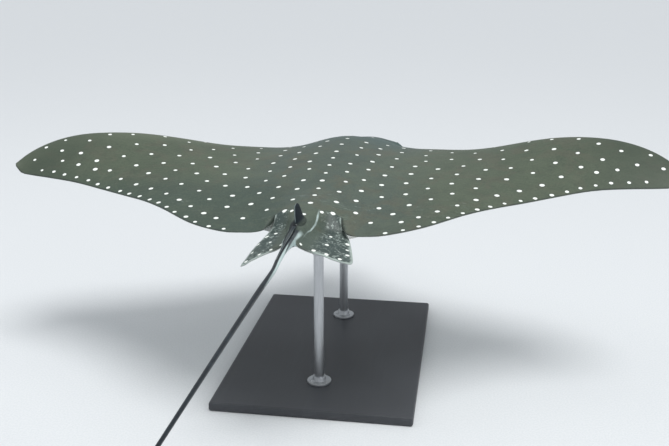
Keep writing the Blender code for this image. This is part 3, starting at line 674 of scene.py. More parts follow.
gills = {
    "count": 5, "first": 0.130, "apart": 0.0185, "span": 0.0560, "inward": 0.0042,
    "half": 0.0052, "bow": 0.0012, "slant": 0.0010,
    "line": {"under": True, "width": 0.0009, "lift": -0.0030, "lip": 0.0008, "dark": 0.9},
}
for i in range(gills["count"]):
    middle, aft = gills["span"] - i * gills["inward"], gills["first"] + i * gills["apart"]
    steps = ((-1, 1), (-0.5, 0.25), (0, 0), (0.5, 0.25), (1, 1))
    path = [(middle + s * gills["half"], aft + b * gills["bow"] - s * gills["slant"]) for s, b in steps]
    faceLines[f"gill{i}"] = {"path": path, **gills["line"]}

nostril = {
    "place": (0.0205, 0.0545), "half": (0.0030, 0.0019), "turn": 35, "depth": 0.0042, "wall": (0.2, 1.0),
    "rim": 0.0006, "rimPlace": (1.25, 0.25),
}
noseFlap = {
    "span": 0.0212, "fore": 0.0505, "hind": 0.0648, "lift": 0.0017, "soft": 0.0015,
    "notch": 0.0036, "notchSpan": 0.0034, "fringe": 0.0003, "fringeStep": 0.0030,
}


farOff = 9.0  # stands for a distance that is too far to matter


def offLine(span, aft, path):  # distance from a drawn line
    best = np.full(span.shape, farOff)
    for (x1, y1), (x2, y2) in zip(path, path[1:]):
        dx, dy = x2 - x1, y2 - y1
        t = np.clip(((span - x1) * dx + (aft - y1) * dy) / (dx * dx + dy * dy), 0.0, 1.0)
        best = np.minimum(best, np.hypot(span - x1 - t * dx, aft - y1 - t * dy))
    return best


def eyeAxes(side):  # outward, along the opening and up, seen from the eye
    gaze = Vector(eye["gaze"]).normalized()
    gaze.x *= side
    along = Vector((0, 0, 1)).cross(gaze).normalized() * side
    up = gaze.cross(along) * side
    centre = Vector(eye["place"])
    centre.x *= side
    return [np.array(v) for v in (centre, gaze, along, up)]


def eyeReach(points, side):  # place seen from the eye, and 1 on the edge of the lids
    centre, gaze, along, up = eyeAxes(side)
    off = points - centre
    outward, forth, rise = off @ gaze, off @ along, off @ up
    halfHeight = np.where(rise > 0, eye["halfTop"], eye["halfLow"])
    reach = np.hypot(forth / eye["halfLength"], rise / halfHeight)
    seen = (outward > eye["inwardMost"]) & (points[:, 0] * side > 0)
    return outward, forth, rise, np.where(seen, reach, farOff)


def spiracleAxes(side):
    x, aft = spiracle["place"]
    step = 1e-3
    grid = [(x, aft), (x + step, aft), (x, aft + step)]
    tops = [float(bodyHeight(np.array([s]), a, 1, float(halfWidth(a)))[0]) for s, a in grid]
    out = Vector(((tops[0] - tops[1]) / step, (tops[0] - tops[2]) / step, 1.0)).normalized()
    long = Vector(spiracle["long"])
    long = (long - out * long.dot(out)).normalized()
    across = out.cross(long)
    return [np.array((v.x * side, v.y, v.z)) for v in (Vector((x, aft, tops[0])), out, long, across)]


def spiracleReach(points, side):
    centre, out, long, across = spiracleAxes(side)
    off = points - centre
    reach = np.hypot(off @ long / spiracle["half"][0], off @ across / spiracle["half"][1])
    return np.where(np.abs(off @ out) < spiracle["reach"], reach, farOff)


def nostrilReach(span, aft):
    turn = math.radians(nostril["turn"])
    dx, dy = span - nostril["place"][0], aft - nostril["place"][1]
    along = dx * math.cos(turn) + dy * math.sin(turn)
    across = dy * math.cos(turn) - dx * math.sin(turn)
    return np.hypot(along / nostril["half"][0], across / nostril["half"][1])


fineParts = {  # reach round the lids and spiracles, and boxes on the belly as (span, from, to)
    "eye": 2.1, "lids": (0.75, 1.5), "spiracle": 1.8, "gill": 0.0042,
    "mouth": (0.031, 0.048, 0.076), "vent": (0.012, 0.545, 0.566),
}


def detailLevel(points):  # how many times finer the skin is made round each small feature
    span, aft = np.abs(points[:, 0]), points[:, 1]
    below = points[:, 2] < 0.0
    level = np.zeros(len(points), int)
    for side in (1, -1):
        reach = eyeReach(points, side)[3]
        low, high = fineParts["lids"]
        level = np.maximum(level, (reach < fineParts["eye"]).astype(int))
        level = np.where((reach > low) & (reach < high), 2, level)
        level = np.maximum(level, (spiracleReach(points, side) < fineParts["spiracle"]).astype(int))
    for name in ("mouth", "vent"):
        out, start, end = fineParts[name]
        level = np.maximum(level, (below & (span < out) & (aft > start) & (aft < end)).astype(int))
    for name, line in faceLines.items():
        if name.startswith("gill"):
            level = np.where(below & (offLine(span, aft, line["path"]) < fineParts["gill"]), 2, level)
    return level


def refine(mesh, rounds=2):
    bm = bmesh.new()
    bm.from_mesh(mesh)
    touched = set()
    for done in range(rounds):
        bm.faces.ensure_lookup_table()
        centres = np.array([f.calc_center_median()[:] for f in bm.faces]) / ray["discWidth"]
        chosen = [bm.faces[int(i)] for i in np.nonzero(detailLevel(centres) > done)[0]]
        edges = list({e for f in chosen for e in f.edges})
        made = bmesh.ops.subdivide_edges(bm, edges=edges, cuts=1, use_grid_fill=True)
        touched.update(v for v in made["geom_inner"] if isinstance(v, bmesh.types.BMVert))
    touched = [v for v in touched if v.is_valid]
    for _ in range(3):
        bmesh.ops.smooth_vert(
            bm, verts=touched, factor=0.5, use_axis_x=True, use_axis_y=True, use_axis_z=True)
    bm.to_mesh(mesh)
    bm.free()


def upperShare(mesh):  # 1 on the back and 0 on the belly, with dark skin all round the eyes
    points = pointsOf(mesh) / ray["discWidth"]
    share = eased(normalsOf(mesh)[:, 2], *facing["backShare"])
    for side in (1, -1):
        share = np.maximum(share, 1 - eased(eyeReach(points, side)[3], *eye["darkSkin"]))
    return share


def raisedFlap(span, aft):  # 1 on the curtain between the nostrils, with its notched and fringed hind edge
    flap = noseFlap
    hind = flap["hind"] - flap["notch"] * bell(span, 0.0, flap["notchSpan"])
    hind = hind + flap["fringe"] * np.cos(2 * math.pi * span / flap["fringeStep"])
    raised = eased(flap["span"] - span, 0, flap["soft"]) * eased(hind - aft, 0, flap["soft"])
    return flap["lift"] * raised * eased(aft, flap["fore"], flap["fore"] + 4 * flap["soft"])


def lidHeights(outward, forth, rise, reach):  # lids that stand a little proud of the ball and meet the brow
    across = forth**2 + rise**2
    ball = np.sqrt(np.clip(eye["ball"] ** 2 - across, 0.0, None))
    beyond = eye["lidEnd"] / np.maximum(reach, 1e-3)
    crest = np.sqrt(np.clip(eye["ball"] ** 2 - across * beyond**2, 0.0, None)) + eye["lidProud"]
    lid = mixed(ball - eye["lidTuck"], crest, eased(reach, eye["lidStart"], eye["lidEnd"]))
    return mixed(lid, outward, eased(reach, eye["browStart"], eye["browEnd"]))


def shapeFace(mesh):  # moves the flat skin's points and returns how deep in a hollow each one is, which is painted as shade
    points, normals = pointsOf(mesh) / ray["discWidth"], normalsOf(mesh)
    span, aft = np.abs(points[:, 0]), points[:, 1]
    near = aft < facing["lastLine"]
    lift = np.zeros(len(points))
    hollow = np.zeros(len(points))
    faces = {True: eased(-normals[:, 2], *facing["turned"]), False: eased(normals[:, 2], *facing["turned"])}
    for line in faceLines.values():
        face = faces[line["under"]]
        off = offLine(span, aft, line["path"]) / line["width"]
        bed = bell(off, 0.0, 1.0) * face * near
        lift += line["lift"] * bed + line["lip"] * bell(off, facing["lipPlace"], 1.0) * face * near
        hollow = np.maximum(hollow, line["dark"] * bed)
    under = faces[True]
    lift += raisedFlap(span, aft) * under
    reach = nostrilReach(span, aft)
    pit = (1 - eased(reach, *nostril["wall"])) * under * near
    rim = nostril["rim"] * bell(reach, *nostril["rimPlace"])
    lift += (rim - nostril["depth"] * pit / under.clip(1e-3)) * under
    hollow = np.maximum(hollow, pit)
    moved = points + normals * lift[:, None]
    for side in (1, -1):
        reach = spiracleReach(points, side)
        out = spiracleAxes(side)[1]
        pit = 1 - eased(reach, *spiracle["wall"])
        rim = bell(reach, *spiracle["rimPlace"])
        moved += out * (spiracle["rim"] * rim - spiracle["depth"] * pit)[:, None]
        hollow = np.maximum(hollow, pit)
        outward, forth, rise, reach = eyeReach(moved, side)
        gaze = eyeAxes(side)[1]
        lid = lidHeights(outward, forth, rise, reach)
        moved += gaze * np.where(reach < eye["browEnd"], lid - outward, 0.0)[:, None]
        hollow = np.maximum(hollow, (reach < eye["darkReach"]) * eye["dark"])
    movePoints(mesh, moved * ray["discWidth"])
    return hollow


refine(skin.data)
backs = upperShare(skin.data)
hollows = shapeFace(skin.data)
print("head shaped:", len(skin.data.polygons), "faces")

# ---- white spots, which keep their distance from each other as on a living ray

spots = {
    "seed": 11, "tries": 9000, "apart": 0.0350, "frontApart": 0.0460, "relax": 40, "push": 0.10,
    "radius": 0.00325, "frontRadius": 0.0026, "edgeRadius": 0.0029, "finRadius": 0.0025, "vary": 0.13,
    "columns": ((0.0305, 0.0410, 0.006), (0.0610, 0.0420, 0.026), (0.0905, 0.0430, 0.012)),
    # first place, step and number along each row of the pelvic fins, with its inset, or its place out
    "finHind": (0.012, 0.015, 4, 0.0055), "finOuter": (0.58, 0.018, 3, 0.0050),
    "finMiddle": (0.575, 0.03, 2, 0.036),
    "finJitter": 0.0012, "finVary": (0.8, 1.2),
    # inset, step and reach out along the wings' hind margins, and how far a spot may stray from its row
    "edgeRow": (0.0058, 0.0235, 0.096, 0.465), "secondRow": (0.0310, 0.0330, 0.120, 0.440),
    "insetGrowth": (1.3, 0.30, 0.44), "rowJitter": (0.0016, 0.0010),
    # where the midline's row starts and ends and its step, and what is added to the step ahead of a place
    "midline": (0.515, 0.15, 0.0312), "midlineWider": ((0.40, 0.0035), (0.31, 0.0140)),
    "columnsFrom": 0.505, "columnsTo": 0.17, "leftAhead": 0.004,
    "columnsSpread": (0.12, 0.42, 0.22), "columnJitter": (0.003, 0.004), "columnFront": (0.15, 0.30),
    "frontApartAft": (0.42, 0.24), "frontSizeAft": (0.36, 0.20), "closer": (0.28, 0.30, 0.44),
    "tipSize": (0.80, 0.36, 0.47), "clearOfOthers": 0.80, "wanted": 1.25,
    "field": ((-0.48, 0.118), (0.48, 0.57)), "fieldSpan": 0.475, "bodyEnd": 0.535, "lobeSpan": 0.10,
    "hindClear": 0.024, "foreClear": 0.013,
    "finRoot": ((0.0, 0.56, 0.0034), (0.02, 0.54, 0.0026), (-0.02, 0.54, 0.0026)),
}


def marginLine(low, high):  # the wing's hind margin with its inward direction
    s = np.linspace(low, high, 400)
    a = smoothLine(s, ray["aftMargin"])
    ds, da = np.gradient(s), np.gradient(a)
    size = np.hypot(ds, da)
    return s, a, np.cumsum(size), da / size, -ds / size


def rowAlong(inset, step, low, high):
    s, a, length, inS, inA = marginLine(low, high)
    stops = np.arange(length[0] + step / 2, length[-1], step)
    pick = [np.interp(stops, length, v) for v in (s, a, inS, inA)]
    growth, low, high = spots["insetGrowth"]
    inset = inset * (1 + growth * eased(pick[0], low, high))
    return np.stack([pick[0] + inset * pick[2], pick[1] + inset * pick[3]], 1)


def hindDistance(span, aft):  # how far a place on the wing is from its hind margin
    slope = np.gradient(aftGrid, spanGrid)
    return (smoothLine(span, ray["aftMargin"]) - aft) / np.sqrt(1 + np.interp(span, spanGrid, slope) ** 2)


def foreDistance(span, aft):
    slope = np.gradient(foreGrid, spanGrid)
    return (aft - smoothLine(span, ray["foreMargin"])) / np.sqrt(1 + np.interp(span, spanGrid, slope) ** 2)


def hindOfFin(span, side):
    return np.interp(span, *np.array(outward(pelvicFin["hind"][side])).T)


def fixedSpots(rng):  # a row on the midline, columns beside it and rows along the wings' hind margins
    places = []
    aft, end, step = spots["midline"]
    while aft > end:
        places.append((0.0, aft, spots["radius"]))
        aft -= step + sum(more * (aft < before) for before, more in spots["midlineWider"])
    spread, none, full = spots["columnsSpread"]
    wider, front = spots["columnFront"]
    outJitter, aftJitter = spots["columnJitter"]
    for side in (1, -1):
        for column, step, start in spots["columns"]:
            aft = spots["columnsFrom"] - start - (spots["leftAhead"] if side > 0 else 0.0)
            while aft > spots["columnsTo"]:
                x = column * (1 + spread * float(eased(aft, none, full)))
                x = x + rng.uniform(-outJitter, outJitter)
                places.append((side * x, aft + rng.uniform(-aftJitter, aftJitter), spots["radius"]))
                aft -= step * (1 + wider * (aft < front))
        alongRow, offRow = spots["rowJitter"]
        for row, size in (("edgeRow", "edgeRadius"), ("secondRow", "radius")):
            for s, a in rowAlong(*spots[row]):
                s, a = s + rng.uniform(-1, 1) * alongRow, a + rng.uniform(-1, 1) * offRow
                places.append((side * s, a, spots[size]))
    return np.array(places)


def apartAt(places):  # how far apart the spots are: wider to the front and closer towards the wing tips
    start, length = spots["frontApartAft"]
    front = eased(start - places[..., 1], 0.0, length)
    closer, low, high = spots["closer"]
    closer = 1 - closer * eased(np.abs(places[..., 0]), low, high)
    return mixed(spots["apart"], spots["frontApart"], front) * closer


def inField(places):  # where the loose spots may lie
    span, aft = np.abs(places[..., 0]), places[..., 1]
    free = (aft > spots["field"][0][1]) & (span < spots["fieldSpan"])
    free = free & ((aft < spots["bodyEnd"]) | (span > spots["lobeSpan"]))
    free = free & (hindDistance(span, aft) > spots["hindClear"])
    return free & (foreDistance(span, aft) > spots["foreClear"])


def looseSpots(rng, fixed):  # strewn over what is left, then pushed apart
    kept = fixed[:, :2]
    loose = np.empty((0, 2))
    for place in rng.uniform(*spots["field"], (spots["tries"], 2)):
        if inField(place) and np.hypot(*(kept - place).T).min() > spots["clearOfOthers"] * apartAt(place):
            kept = np.vstack([kept, place])
            loose = np.vstack([loose, place])
    for _ in range(spots["relax"]):
        everyone = np.vstack([fixed[:, :2], loose])
        away = loose[:, None] - everyone[None]
        far = np.hypot(away[..., 0], away[..., 1])
        want = spots["wanted"] * apartAt(loose)[:, None]
        push = np.where(far > 1e-6, np.clip(1 - far / want, 0.0, 1.0) / np.maximum(far, 1e-6), 0.0)
        moved = loose + spots["push"] * (away * push[..., None]).sum(1) * want
        loose = np.where(inField(moved)[:, None], moved, loose)
    start, length = spots["frontSizeAft"]
    sizes = mixed(spots["radius"], spots["frontRadius"], eased(start - loose[:, 1], 0.0, length))
    return np.column_stack([loose, sizes])


def finSpots(rng):  # along the hind and outer edges of the pelvic fins, then on their middle
    places = []
    for side in (1, -1):
        first, step, count, inset = spots["finHind"]
        row = [(span, hindOfFin(span, side) - inset) for span in first + step * np.arange(count)]
        first, step, count, inset = spots["finOuter"]
        outer = pelvicFin["outer"][side]
        row += [(at(aft, outer) - inset, aft) for aft in first + step * np.arange(count)]
        first, step, count, middle = spots["finMiddle"]
        for span, aft in row + [(middle, aft) for aft in first + step * np.arange(count)]:
            stray = rng.uniform(-spots["finJitter"], spots["finJitter"], 2)
            size = spots["finRadius"] * rng.uniform(*spots["finVary"])
            places.append((side * span + stray[0], aft + stray[1], size))
    return places


def spotPlaces():
    rng = np.random.default_rng(spots["seed"])
    fixed = fixedSpots(rng)
    places = np.vstack([fixed, looseSpots(rng, fixed)])
    places[:, 2] *= rng.uniform(1 - spots["vary"], 1 + spots["vary"], len(places))
    smaller, low, high = spots["tipSize"]
    places[:, 2] *= mixed(1.0, smaller, eased(np.abs(places[:, 0]), low, high))
    return np.vstack([places, finSpots(rng), spots["finRoot"]])


# (aft, x) of the painted highlight along the fold right of the tail's root, of the edge of the painted
# shade on the flank left of it, and of the left edge of its sheen, which counts in half widths of the tail
tailLines = {
    "fold": ((0.53, -0.016), (0.56, -0.017), (0.60, -0.012), (0.625, -0.011)),
    "flank": ((0.56, 0.015), (0.60, 0.013), (0.645, 0.007)),
    "sheen": ((0.60, -0.7), (0.70, -0.4), (0.83, -1.3)),
    # streak and streakHeight place the painted highlight on the dorsal fin's hind edge
    "farthest": 0.03, "streak": (0.0012, 0.0009, 0.0016), "streakHeight": (0.014, 0.022),
    # where the dorsal fin stands, and the heights over the back between which it turns dark
    "finHalf": 0.012, "finAft": (0.545, 0.612), "finFade": (0.0010, 0.0050), "finReads": (0.54, 0.62, 60),
}


def tailMarks(points):  # place round the tail, from its sheen's left edge, its height, and off its side
    x, aft, z = points.T
    whip = aft > loft["tailStart"]
    half = np.where(whip, smoothLine(aft, tailWhip["radius"]), smoothLine(aft, ray["tailWidth"]))
    rise = np.where(whip, smoothLine(aft, tailWhip["rise"]), smoothLine(aft, ray["tailLift"]))
    around = x / half - smoothLine(aft, tailLines["sheen"])
    return np.stack([np.clip(around, -3, 3), np.clip((z - rise) / half, -1.5, 1.5), np.abs(x) - half], 1)


def lineMarks(points, fins):  # off the fold's painted glint, off the edge of the left flank's painted shade, and on the dorsal fin's painted hind-edge glint
    x, aft, z = points.T
    far = tailLines["farthest"]
    fold, flank = [np.clip(x - smoothLine(aft, tailLines[name]), -far, far) for name in ("fold", "flank")]
    height = np.clip(z - dorsalFin["base"], 0.0, dorsalFin["aft"][-1][0])
    behind = smoothLine(height, dorsalFin["aft"]) - aft
    # a painted highlight along the dorsal fin's hind edge
    middle, wide, deep = tailLines["streak"]
    streak = np.exp(-((behind / deep) ** 2) - ((x - middle) / wide) ** 2)
    streak = streak * eased(height, *tailLines["streakHeight"])
    return np.stack([fold, flank, streak * fins], 1)


def finMarks(points):  # 1 on the dorsal fin, fading into the back at its root
    x, aft, z = points.T
    afts = np.linspace(*tailLines["finReads"])
    above = z - np.interp(aft, afts, [tailTop(a) for a in afts])
    start, end = tailLines["finAft"]
    near = (np.abs(x) < tailLines["finHalf"]) & (aft > start) & (aft < end)
    return np.where(near, eased(above, *tailLines["finFade"]), 0.0)


def ontoBack(mesh, places):  # the spots' places in space, on the flat skin's upper side
    tree = BVHTree.FromPolygons([v.co for v in mesh.vertices], [p.vertices for p in mesh.polygons])
    found = []
    for x, aft, size in places:
        hit = tree.ray_cast(Vector((x, aft, 1.0)) * ray["discWidth"], Vector((0, 0, -1)))[0]
        if hit is not None:
            found.append((*hit, size * ray["discWidth"]))
    return np.array(found)


def markSpots(mesh, centres):  # at each corner of a face, how far it is from that face's nearest spot
    tree = KDTree(len(centres))
    for i, c in enumerate(centres):
        tree.insert(c[:3], i)
    tree.balance()
    corners = np.empty(len(mesh.loops), int)
    mesh.loops.foreach_get("vertex_index", corners)
    nearest = np.zeros(len(mesh.loops), int)
    for face in mesh.polygons:
        nearest[face.loop_start:face.loop_start + face.loop_total] = tree.find(face.center)[1]
    off = pointsOf(mesh)[corners] - centres[nearest, :3]
    mark(mesh, "spot", off / centres[nearest, 3:], "CORNER")


margins = {  # in disc widths; farthest is where a margin no longer counts
    "farthest": 0.06, "wingSpan": 0.085, "finHindSpan": 0.009, "foreFade": (0.108, 0.170),
    "pelvicSpan": (0.018, 0.034), "fanCentre": (0.03, 0.30), "fanSpan": (0.10, 0.16),
}


def marginMarks(points, kinds):  # distance from the hind and the front margins
    span, aft, far = np.abs(points[:, 0]), points[:, 1], margins["farthest"]
    wings, fins = kinds < 0.5, (kinds > 0.5) & (kinds < 1.5)
    hind = np.where(span > margins["wingSpan"], hindDistance(span, aft), far)
    inner = np.minimum(hind, span - smoothLine(aft, loft["innerMargin"]))
    hind = np.where(wings & (aft > loft["wingSplit"]), inner, hind)
    finHind = np.where(points[:, 0] > 0, *[hindOfFin(span, side) - aft for side in (1, -1)])
    outer = eitherSide(points[:, 0], aft, pelvicFin["outer"])
    finRim = np.minimum(outer - span, np.where(span > margins["finHindSpan"], finHind, far))
    hind = np.where(fins, finRim, hind)
    fore = np.where(wings, foreDistance(span, aft) + far * (1 - eased(span, *margins["foreFade"])), far)
    return np.clip(hind, 0.0, far), np.clip(fore, 0.0, far), fins * eased(span, *margins["pelvicSpan"])


def fanMarks(points):  # the angle at which a place is seen from the wing's root, nothing on the trunk
    span, aft = np.abs(points[:, 0]), points[:, 1]
    out, back = margins["fanCentre"]
    return np.arctan2(aft - back, span - out) * eased(span, *margins["fanSpan"])


flat = pointsOf(skin.data) / ray["discWidth"]
kinds = np.empty(len(flat))
skin.data.attributes["kind"].data.foreach_get("value", kinds)
hind, fore, pelvic = marginMarks(flat, kinds)
fins = finMarks(flat)
mark(skin.data, "flat", flat)
mark(skin.data, "marks", np.stack([np.maximum(backs, fins), pelvic, fins], 1))
mark(skin.data, "margins", np.stack([hind, fore, hollows], 1))
mark(skin.data, "fan", fanMarks(flat))
mark(skin.data, "tail", tailMarks(flat))
mark(skin.data, "lines", lineMarks(flat, fins))
centres = ontoBack(skin.data, spotPlaces())
centres[:, :3] = beaten(centres[:, :3])
movePoints(skin.data, beaten(pointsOf(skin.data)))
markSpots(skin.data, centres)
skin.data.polygons.foreach_set("use_smooth", [True] * len(skin.data.polygons))
skin.data.update()
print("spots placed:", len(centres))

# ---- finishes

def paint(red, green, blue):  # a colour as seen, 0 to 255, turned into light
    parts = [c / 255 for c in (red, green, blue)]
    return tuple(c / 12.92 if c <= 0.04045 else ((c + 0.055) / 1.055) ** 2.4 for c in parts) + (1.0,)


class Wire:  # a socket that can be added, multiplied and so on
    def __init__(self, sheet, socket):
        self.sheet = sheet
        self.socket = socket

    def __add__(self, other):
        return self.sheet.maths("ADD", self, other)

    def __radd__(self, other):
        return self.sheet.maths("ADD", other, self)

    def __sub__(self, other):
        return self.sheet.maths("SUBTRACT", self, other)

    def __rsub__(self, other):
        return self.sheet.maths("SUBTRACT", other, self)

    def __mul__(self, other):
        return self.sheet.maths("MULTIPLY", self, other)

    def __rmul__(self, other):
        return self.sheet.maths("MULTIPLY", other, self)

    def __truediv__(self, other):
        return self.sheet.maths("DIVIDE", self, other)

    def __rtruediv__(self, other):
        return self.sheet.maths("DIVIDE", other, self)

    def __abs__(self):
        return self.sheet.maths("ABSOLUTE", self)


class Finish:  # one material's sheet of nodes
    def __init__(self, name, **constants):
        self.material = bpy.data.materials.new(name)
        self.material.use_nodes = True
        self.nodes = self.material.node_tree.nodes
        self.links = self.material.node_tree.links
        self.surface = self.nodes["Principled BSDF"]
        for socket, value in constants.items():
            self.surface.inputs[socket.replace("_", " ")].default_value = value

    def node(self, kind, settings=None, values=None, out=0):
        made = self.nodes.new(kind)
        for key, value in (settings or {}).items():
            setattr(made, key, value)
        for key, value in (values or {}).items():
            if isinstance(value, Wire):
                self.links.new(value.socket, made.inputs[key])
            else:
                made.inputs[key].default_value = value
        return Wire(self, made.outputs[out])

    def maths(self, operation, *values):
        return self.node("ShaderNodeMath", {"operation": operation}, dict(enumerate(values)))

    def read(self, name, out="Fac"):
        return self.node("ShaderNodeAttribute", {"attribute_name": name}, out=out)

    def split(self, vector):
        made = self.node("ShaderNodeSeparateXYZ", {}, {0: vector})
        return [Wire(self, socket) for socket in made.socket.node.outputs]

    def place(self):  # the object's own coordinates, in metres
        return self.node("ShaderNodeTexCoord", out="Object")

    def stretched(self, vector, *scale):
        return self.node("ShaderNodeVectorMath", {"operation": "MULTIPLY"}, {0: vector, 1: scale})

    def noise(self, vector, scale, detail=2.0, rough=0.5, warp=0.0):
        values = {
            "Vector": vector, "Scale": scale, "Detail": detail, "Roughness": rough, "Distortion": warp}
        return self.node("ShaderNodeTexNoise", {}, values)

    def between(self, value, low, high):  # 0 below low, 1 above high, smooth between; high may be the lower
        start, end = (0.0, 1.0) if low < high else (1.0, 0.0)
        values = {
            "Value": value, "From Min": min(low, high), "From Max": max(low, high),
            "To Min": start, "To Max": end}
        return self.node("ShaderNodeMapRange", {"interpolation_type": "SMOOTHSTEP"}, values)

    def blend(self, share, first, second):
        return self.node("ShaderNodeMix", {"data_type": "RGBA"}, {0: share, 6: first, 7: second}, out=2)

    def coats(self, colour, *coats):  # lays (share, colour) coats over each other, the last one on top
        for share, coat in coats:
            colour = self.blend(share, colour, coat)
        return colour

    def band(self, value, wide, outer, inner):  # 1 along a line where the value is 0, fading to its sides
        return self.between(abs(value) / wide, outer, inner)

    def bump(self, height, strength, distance):
        values = {"Height": height, "Strength": strength, "Distance": distance}
        return self.node("ShaderNodeBump", {}, values)

    def lay(self, socket, wire):
        self.links.new(wire.socket, self.surface.inputs[socket])


skinLook = {
    "back": paint(73, 84, 67), "backLight": paint(90, 100, 82), "backDark": paint(56, 66, 55),
    # front is a painted bluish light on the front of the hump, and fore a painted highlight on the left
    # wing's leading edge
    "trunk": paint(74, 86, 79), "brown": paint(88, 87, 73), "front": paint(62, 86, 88),
    "shade": paint(56, 72, 63), "fore": paint(98, 106, 87), "tip": paint(50, 62, 50),
    "edgeLine": paint(30, 38, 36),
    "pelvic": paint(54, 68, 67), "palePatch": paint(174, 186, 180),
    "spot": paint(246, 250, 244), "ring": paint(48, 56, 52), "finBlack": paint(20, 32, 40),
    # tailPale is the colour of the painted highlights on the tail's sheen, the fold and the dorsal fin's
    # hind edge, and of the pale line along the flank
    "tail": paint(12, 20, 28), "tailLight": paint(36, 48, 56), "tailPale": paint(196, 214, 212),
    "belly": paint(236, 237, 232), "bellyShade": paint(208, 209, 203), "bellyMargin": paint(112, 120, 118),
    # painted shade in grooves, pits and round the eyes: near-black on the back, and on the belly the
    # reddish inside, darkened
    "hollowShadeAbove": paint(14, 14, 16), "hollowShadeBelow": paint(112, 74, 70),
    # where each region starts and where it is full, in disc widths: aft, out from the midline, to the left
    # (across), or in from an edge
    "trunkSpan": (0.20, 0.07), "frontLightAft": (0.26, 0.13), "frontLightSpan": (0.16, 0.06),
    "shadeAcross": (0.01, 0.07), "shadeAft": (0.36, 0.46),
    "foreLightIn": (0.055, 0.004), "foreLightAcross": (-0.05, 0.12), "tipSpan": (0.33, 0.46),
    "scratchAft": (0.44, 0.50), "rimIn": (0.0034, 0.0008), "finRimIn": (0.0042, 0.0008),
    # from here: the painted highlight along the fold, the painted shade on the tail's left flank, and the
    # tail's own dark colour and painted sheen
    "foldStart": (0.532, 0.546), "foldEnd": (0.626, 0.560), "foldNarrows": (0.590, 0.545),
    "foldWide": 0.0007, "foldThin": 0.0005,
    "tailAft": (0.602, 0.622), "tailOff": (0.004, 0.0), "leftAcross": (-0.004, 0.001),
    "leftShadeAft": (0.568, 0.582), "flankEdge": (0.0006, -0.0004),
    "rightDarkAft": (0.600, 0.618), "rightDarkOff": (0.0018, -0.0005),
    "glintAft": (0.596, 0.606), "glintEnd": (0.860, 0.700), "glintAround": (0.10, -0.25),
    "glintOver": (-0.98, -0.60),
    "flankLine": (0.0008, 0.0007), "flankStart": (0.578, 0.592), "flankEnd": (0.646, 0.636),
    "duskIn": (0.024, 0.004), "foreDuskIn": (0.007, 0.001),
    "wander": 0.0050, "ragged": 0.34, "rough": 0.50, "roughVary": 0.12, "bump": (0.42, 0.0011),
}


def plainBack(f, flat, aft, across, fore, cloud, fleck, broad):
    # the back's colours, before marks and edges
    look, span = skinLook, abs(across)
    tint = f.noise(flat, 24.0, 3.0, 0.6, 0.8)
    # painted bluish light on the front of the hump
    front = f.between(aft, *look["frontLightAft"]) * f.between(span, *look["frontLightSpan"])
    shade = f.between(across, *look["shadeAcross"]) * f.between(aft, *look["shadeAft"])
    # painted highlight along the left wing's leading edge, where the light falls
    leadingLight = f.between(fore, *look["foreLightIn"]) * f.between(across, *look["foreLightAcross"])
    return f.coats(
        look["back"],
        (f.between(span, *look["trunkSpan"]), look["trunk"]),
        (f.between(broad, 0.34, 0.68) * 0.40, look["backLight"]),
        (f.between(tint, 0.46, 0.68) * 0.55, look["brown"]),
        (front * 0.70, look["front"]),
        (shade * 0.75, look["shade"]),
        (f.between(cloud, 0.48, 0.74) * 0.30, look["backLight"]),
        (f.between(cloud, 0.50, 0.28) * 0.30, look["backDark"]),
        (f.between(fleck, 0.50, 0.70) * 0.50, look["backLight"]),
        (f.between(fleck, 0.48, 0.30) * 0.50, look["backDark"]),
        (leadingLight * 0.60, look["fore"]),
        (f.between(span, *look["tipSpan"]) * 0.55, look["tip"]))


def wornSkin(f, upper, flat, aft, pelvic, fleck):
    # pale patches on the pelvic fins and scratches before them
    look = skinLook
    patch = f.noise(flat, 105.0, 4.0, 0.75, 1.2)
    worn = f.between(patch, 0.48, 0.60) * pelvic * f.between(fleck, 0.44, 0.58)
    scratch = f.noise(f.stretched(flat, 60.0, 520.0, 1.0), 1.0, 2.0, 0.6, 1.2)
    where = f.between(f.noise(flat, 13.0, 1.0), 0.50, 0.62) * f.between(aft, *look["scratchAft"])
    return f.coats(
        upper,
        (pelvic * 0.75, look["pelvic"]),
        (worn * 0.70, look["palePatch"]),
        (f.between(scratch, 0.62, 0.70) * where * 0.34, look["palePatch"]))


def darkTail(f, flat, aft, around, over, cloud):  # nearly black, with a pale sheen along its upper left
    look = skinLook
    black = f.blend(f.between(cloud, 0.40, 0.70) * 0.45, look["tail"], look["tailLight"])
    streak = f.noise(f.stretched(flat, 900.0, 40.0, 900.0), 1.0, 2.0)
    glint = f.between(around, *look["glintAround"]) * f.between(over, *look["glintOver"])
    glint = glint * f.between(aft, *look["glintAft"])
    fading = f.between(aft, *look["glintEnd"]) * (0.75 + streak * 0.5)
    return f.blend(glint * fading, black, look["tailPale"])


def whiteSpots(f, upper, flat, pelvic):  # each with a ragged edge and a faint dark ring
    look = skinLook
    ragged = (f.noise(flat, 480.0, 2.0) - 0.5) * look["ragged"]
    spot = f.read("spot", "Vector")
    away = f.node("ShaderNodeVectorMath", {"operation": "LENGTH"}, {0: spot}, out="Value") + ragged
    return f.coats(
        upper,
        (f.between(away, 1.85, 1.15) * (1 - pelvic) * 0.34, look["ring"]),
        (f.between(away, 1.14, 0.88), look["spot"]))


def underside(f, broad, cloud, hind, fore):
    look = skinLook
    dusk = f.between(hind + (cloud - 0.5) * 0.03, *look["duskIn"])
    foreDusk = f.between(fore + (cloud - 0.5) * 0.01, *look["foreDuskIn"])
    return f.coats(
        look["belly"],
        (f.between(broad, 0.40, 0.65) * 0.5, look["bellyShade"]),
        (f.between(cloud, 0.55, 0.75) * 0.35, look["bellyShade"]),
        (dusk * 0.75, look["bellyMargin"]),
        (foreDusk * 0.7, look["bellyMargin"]))


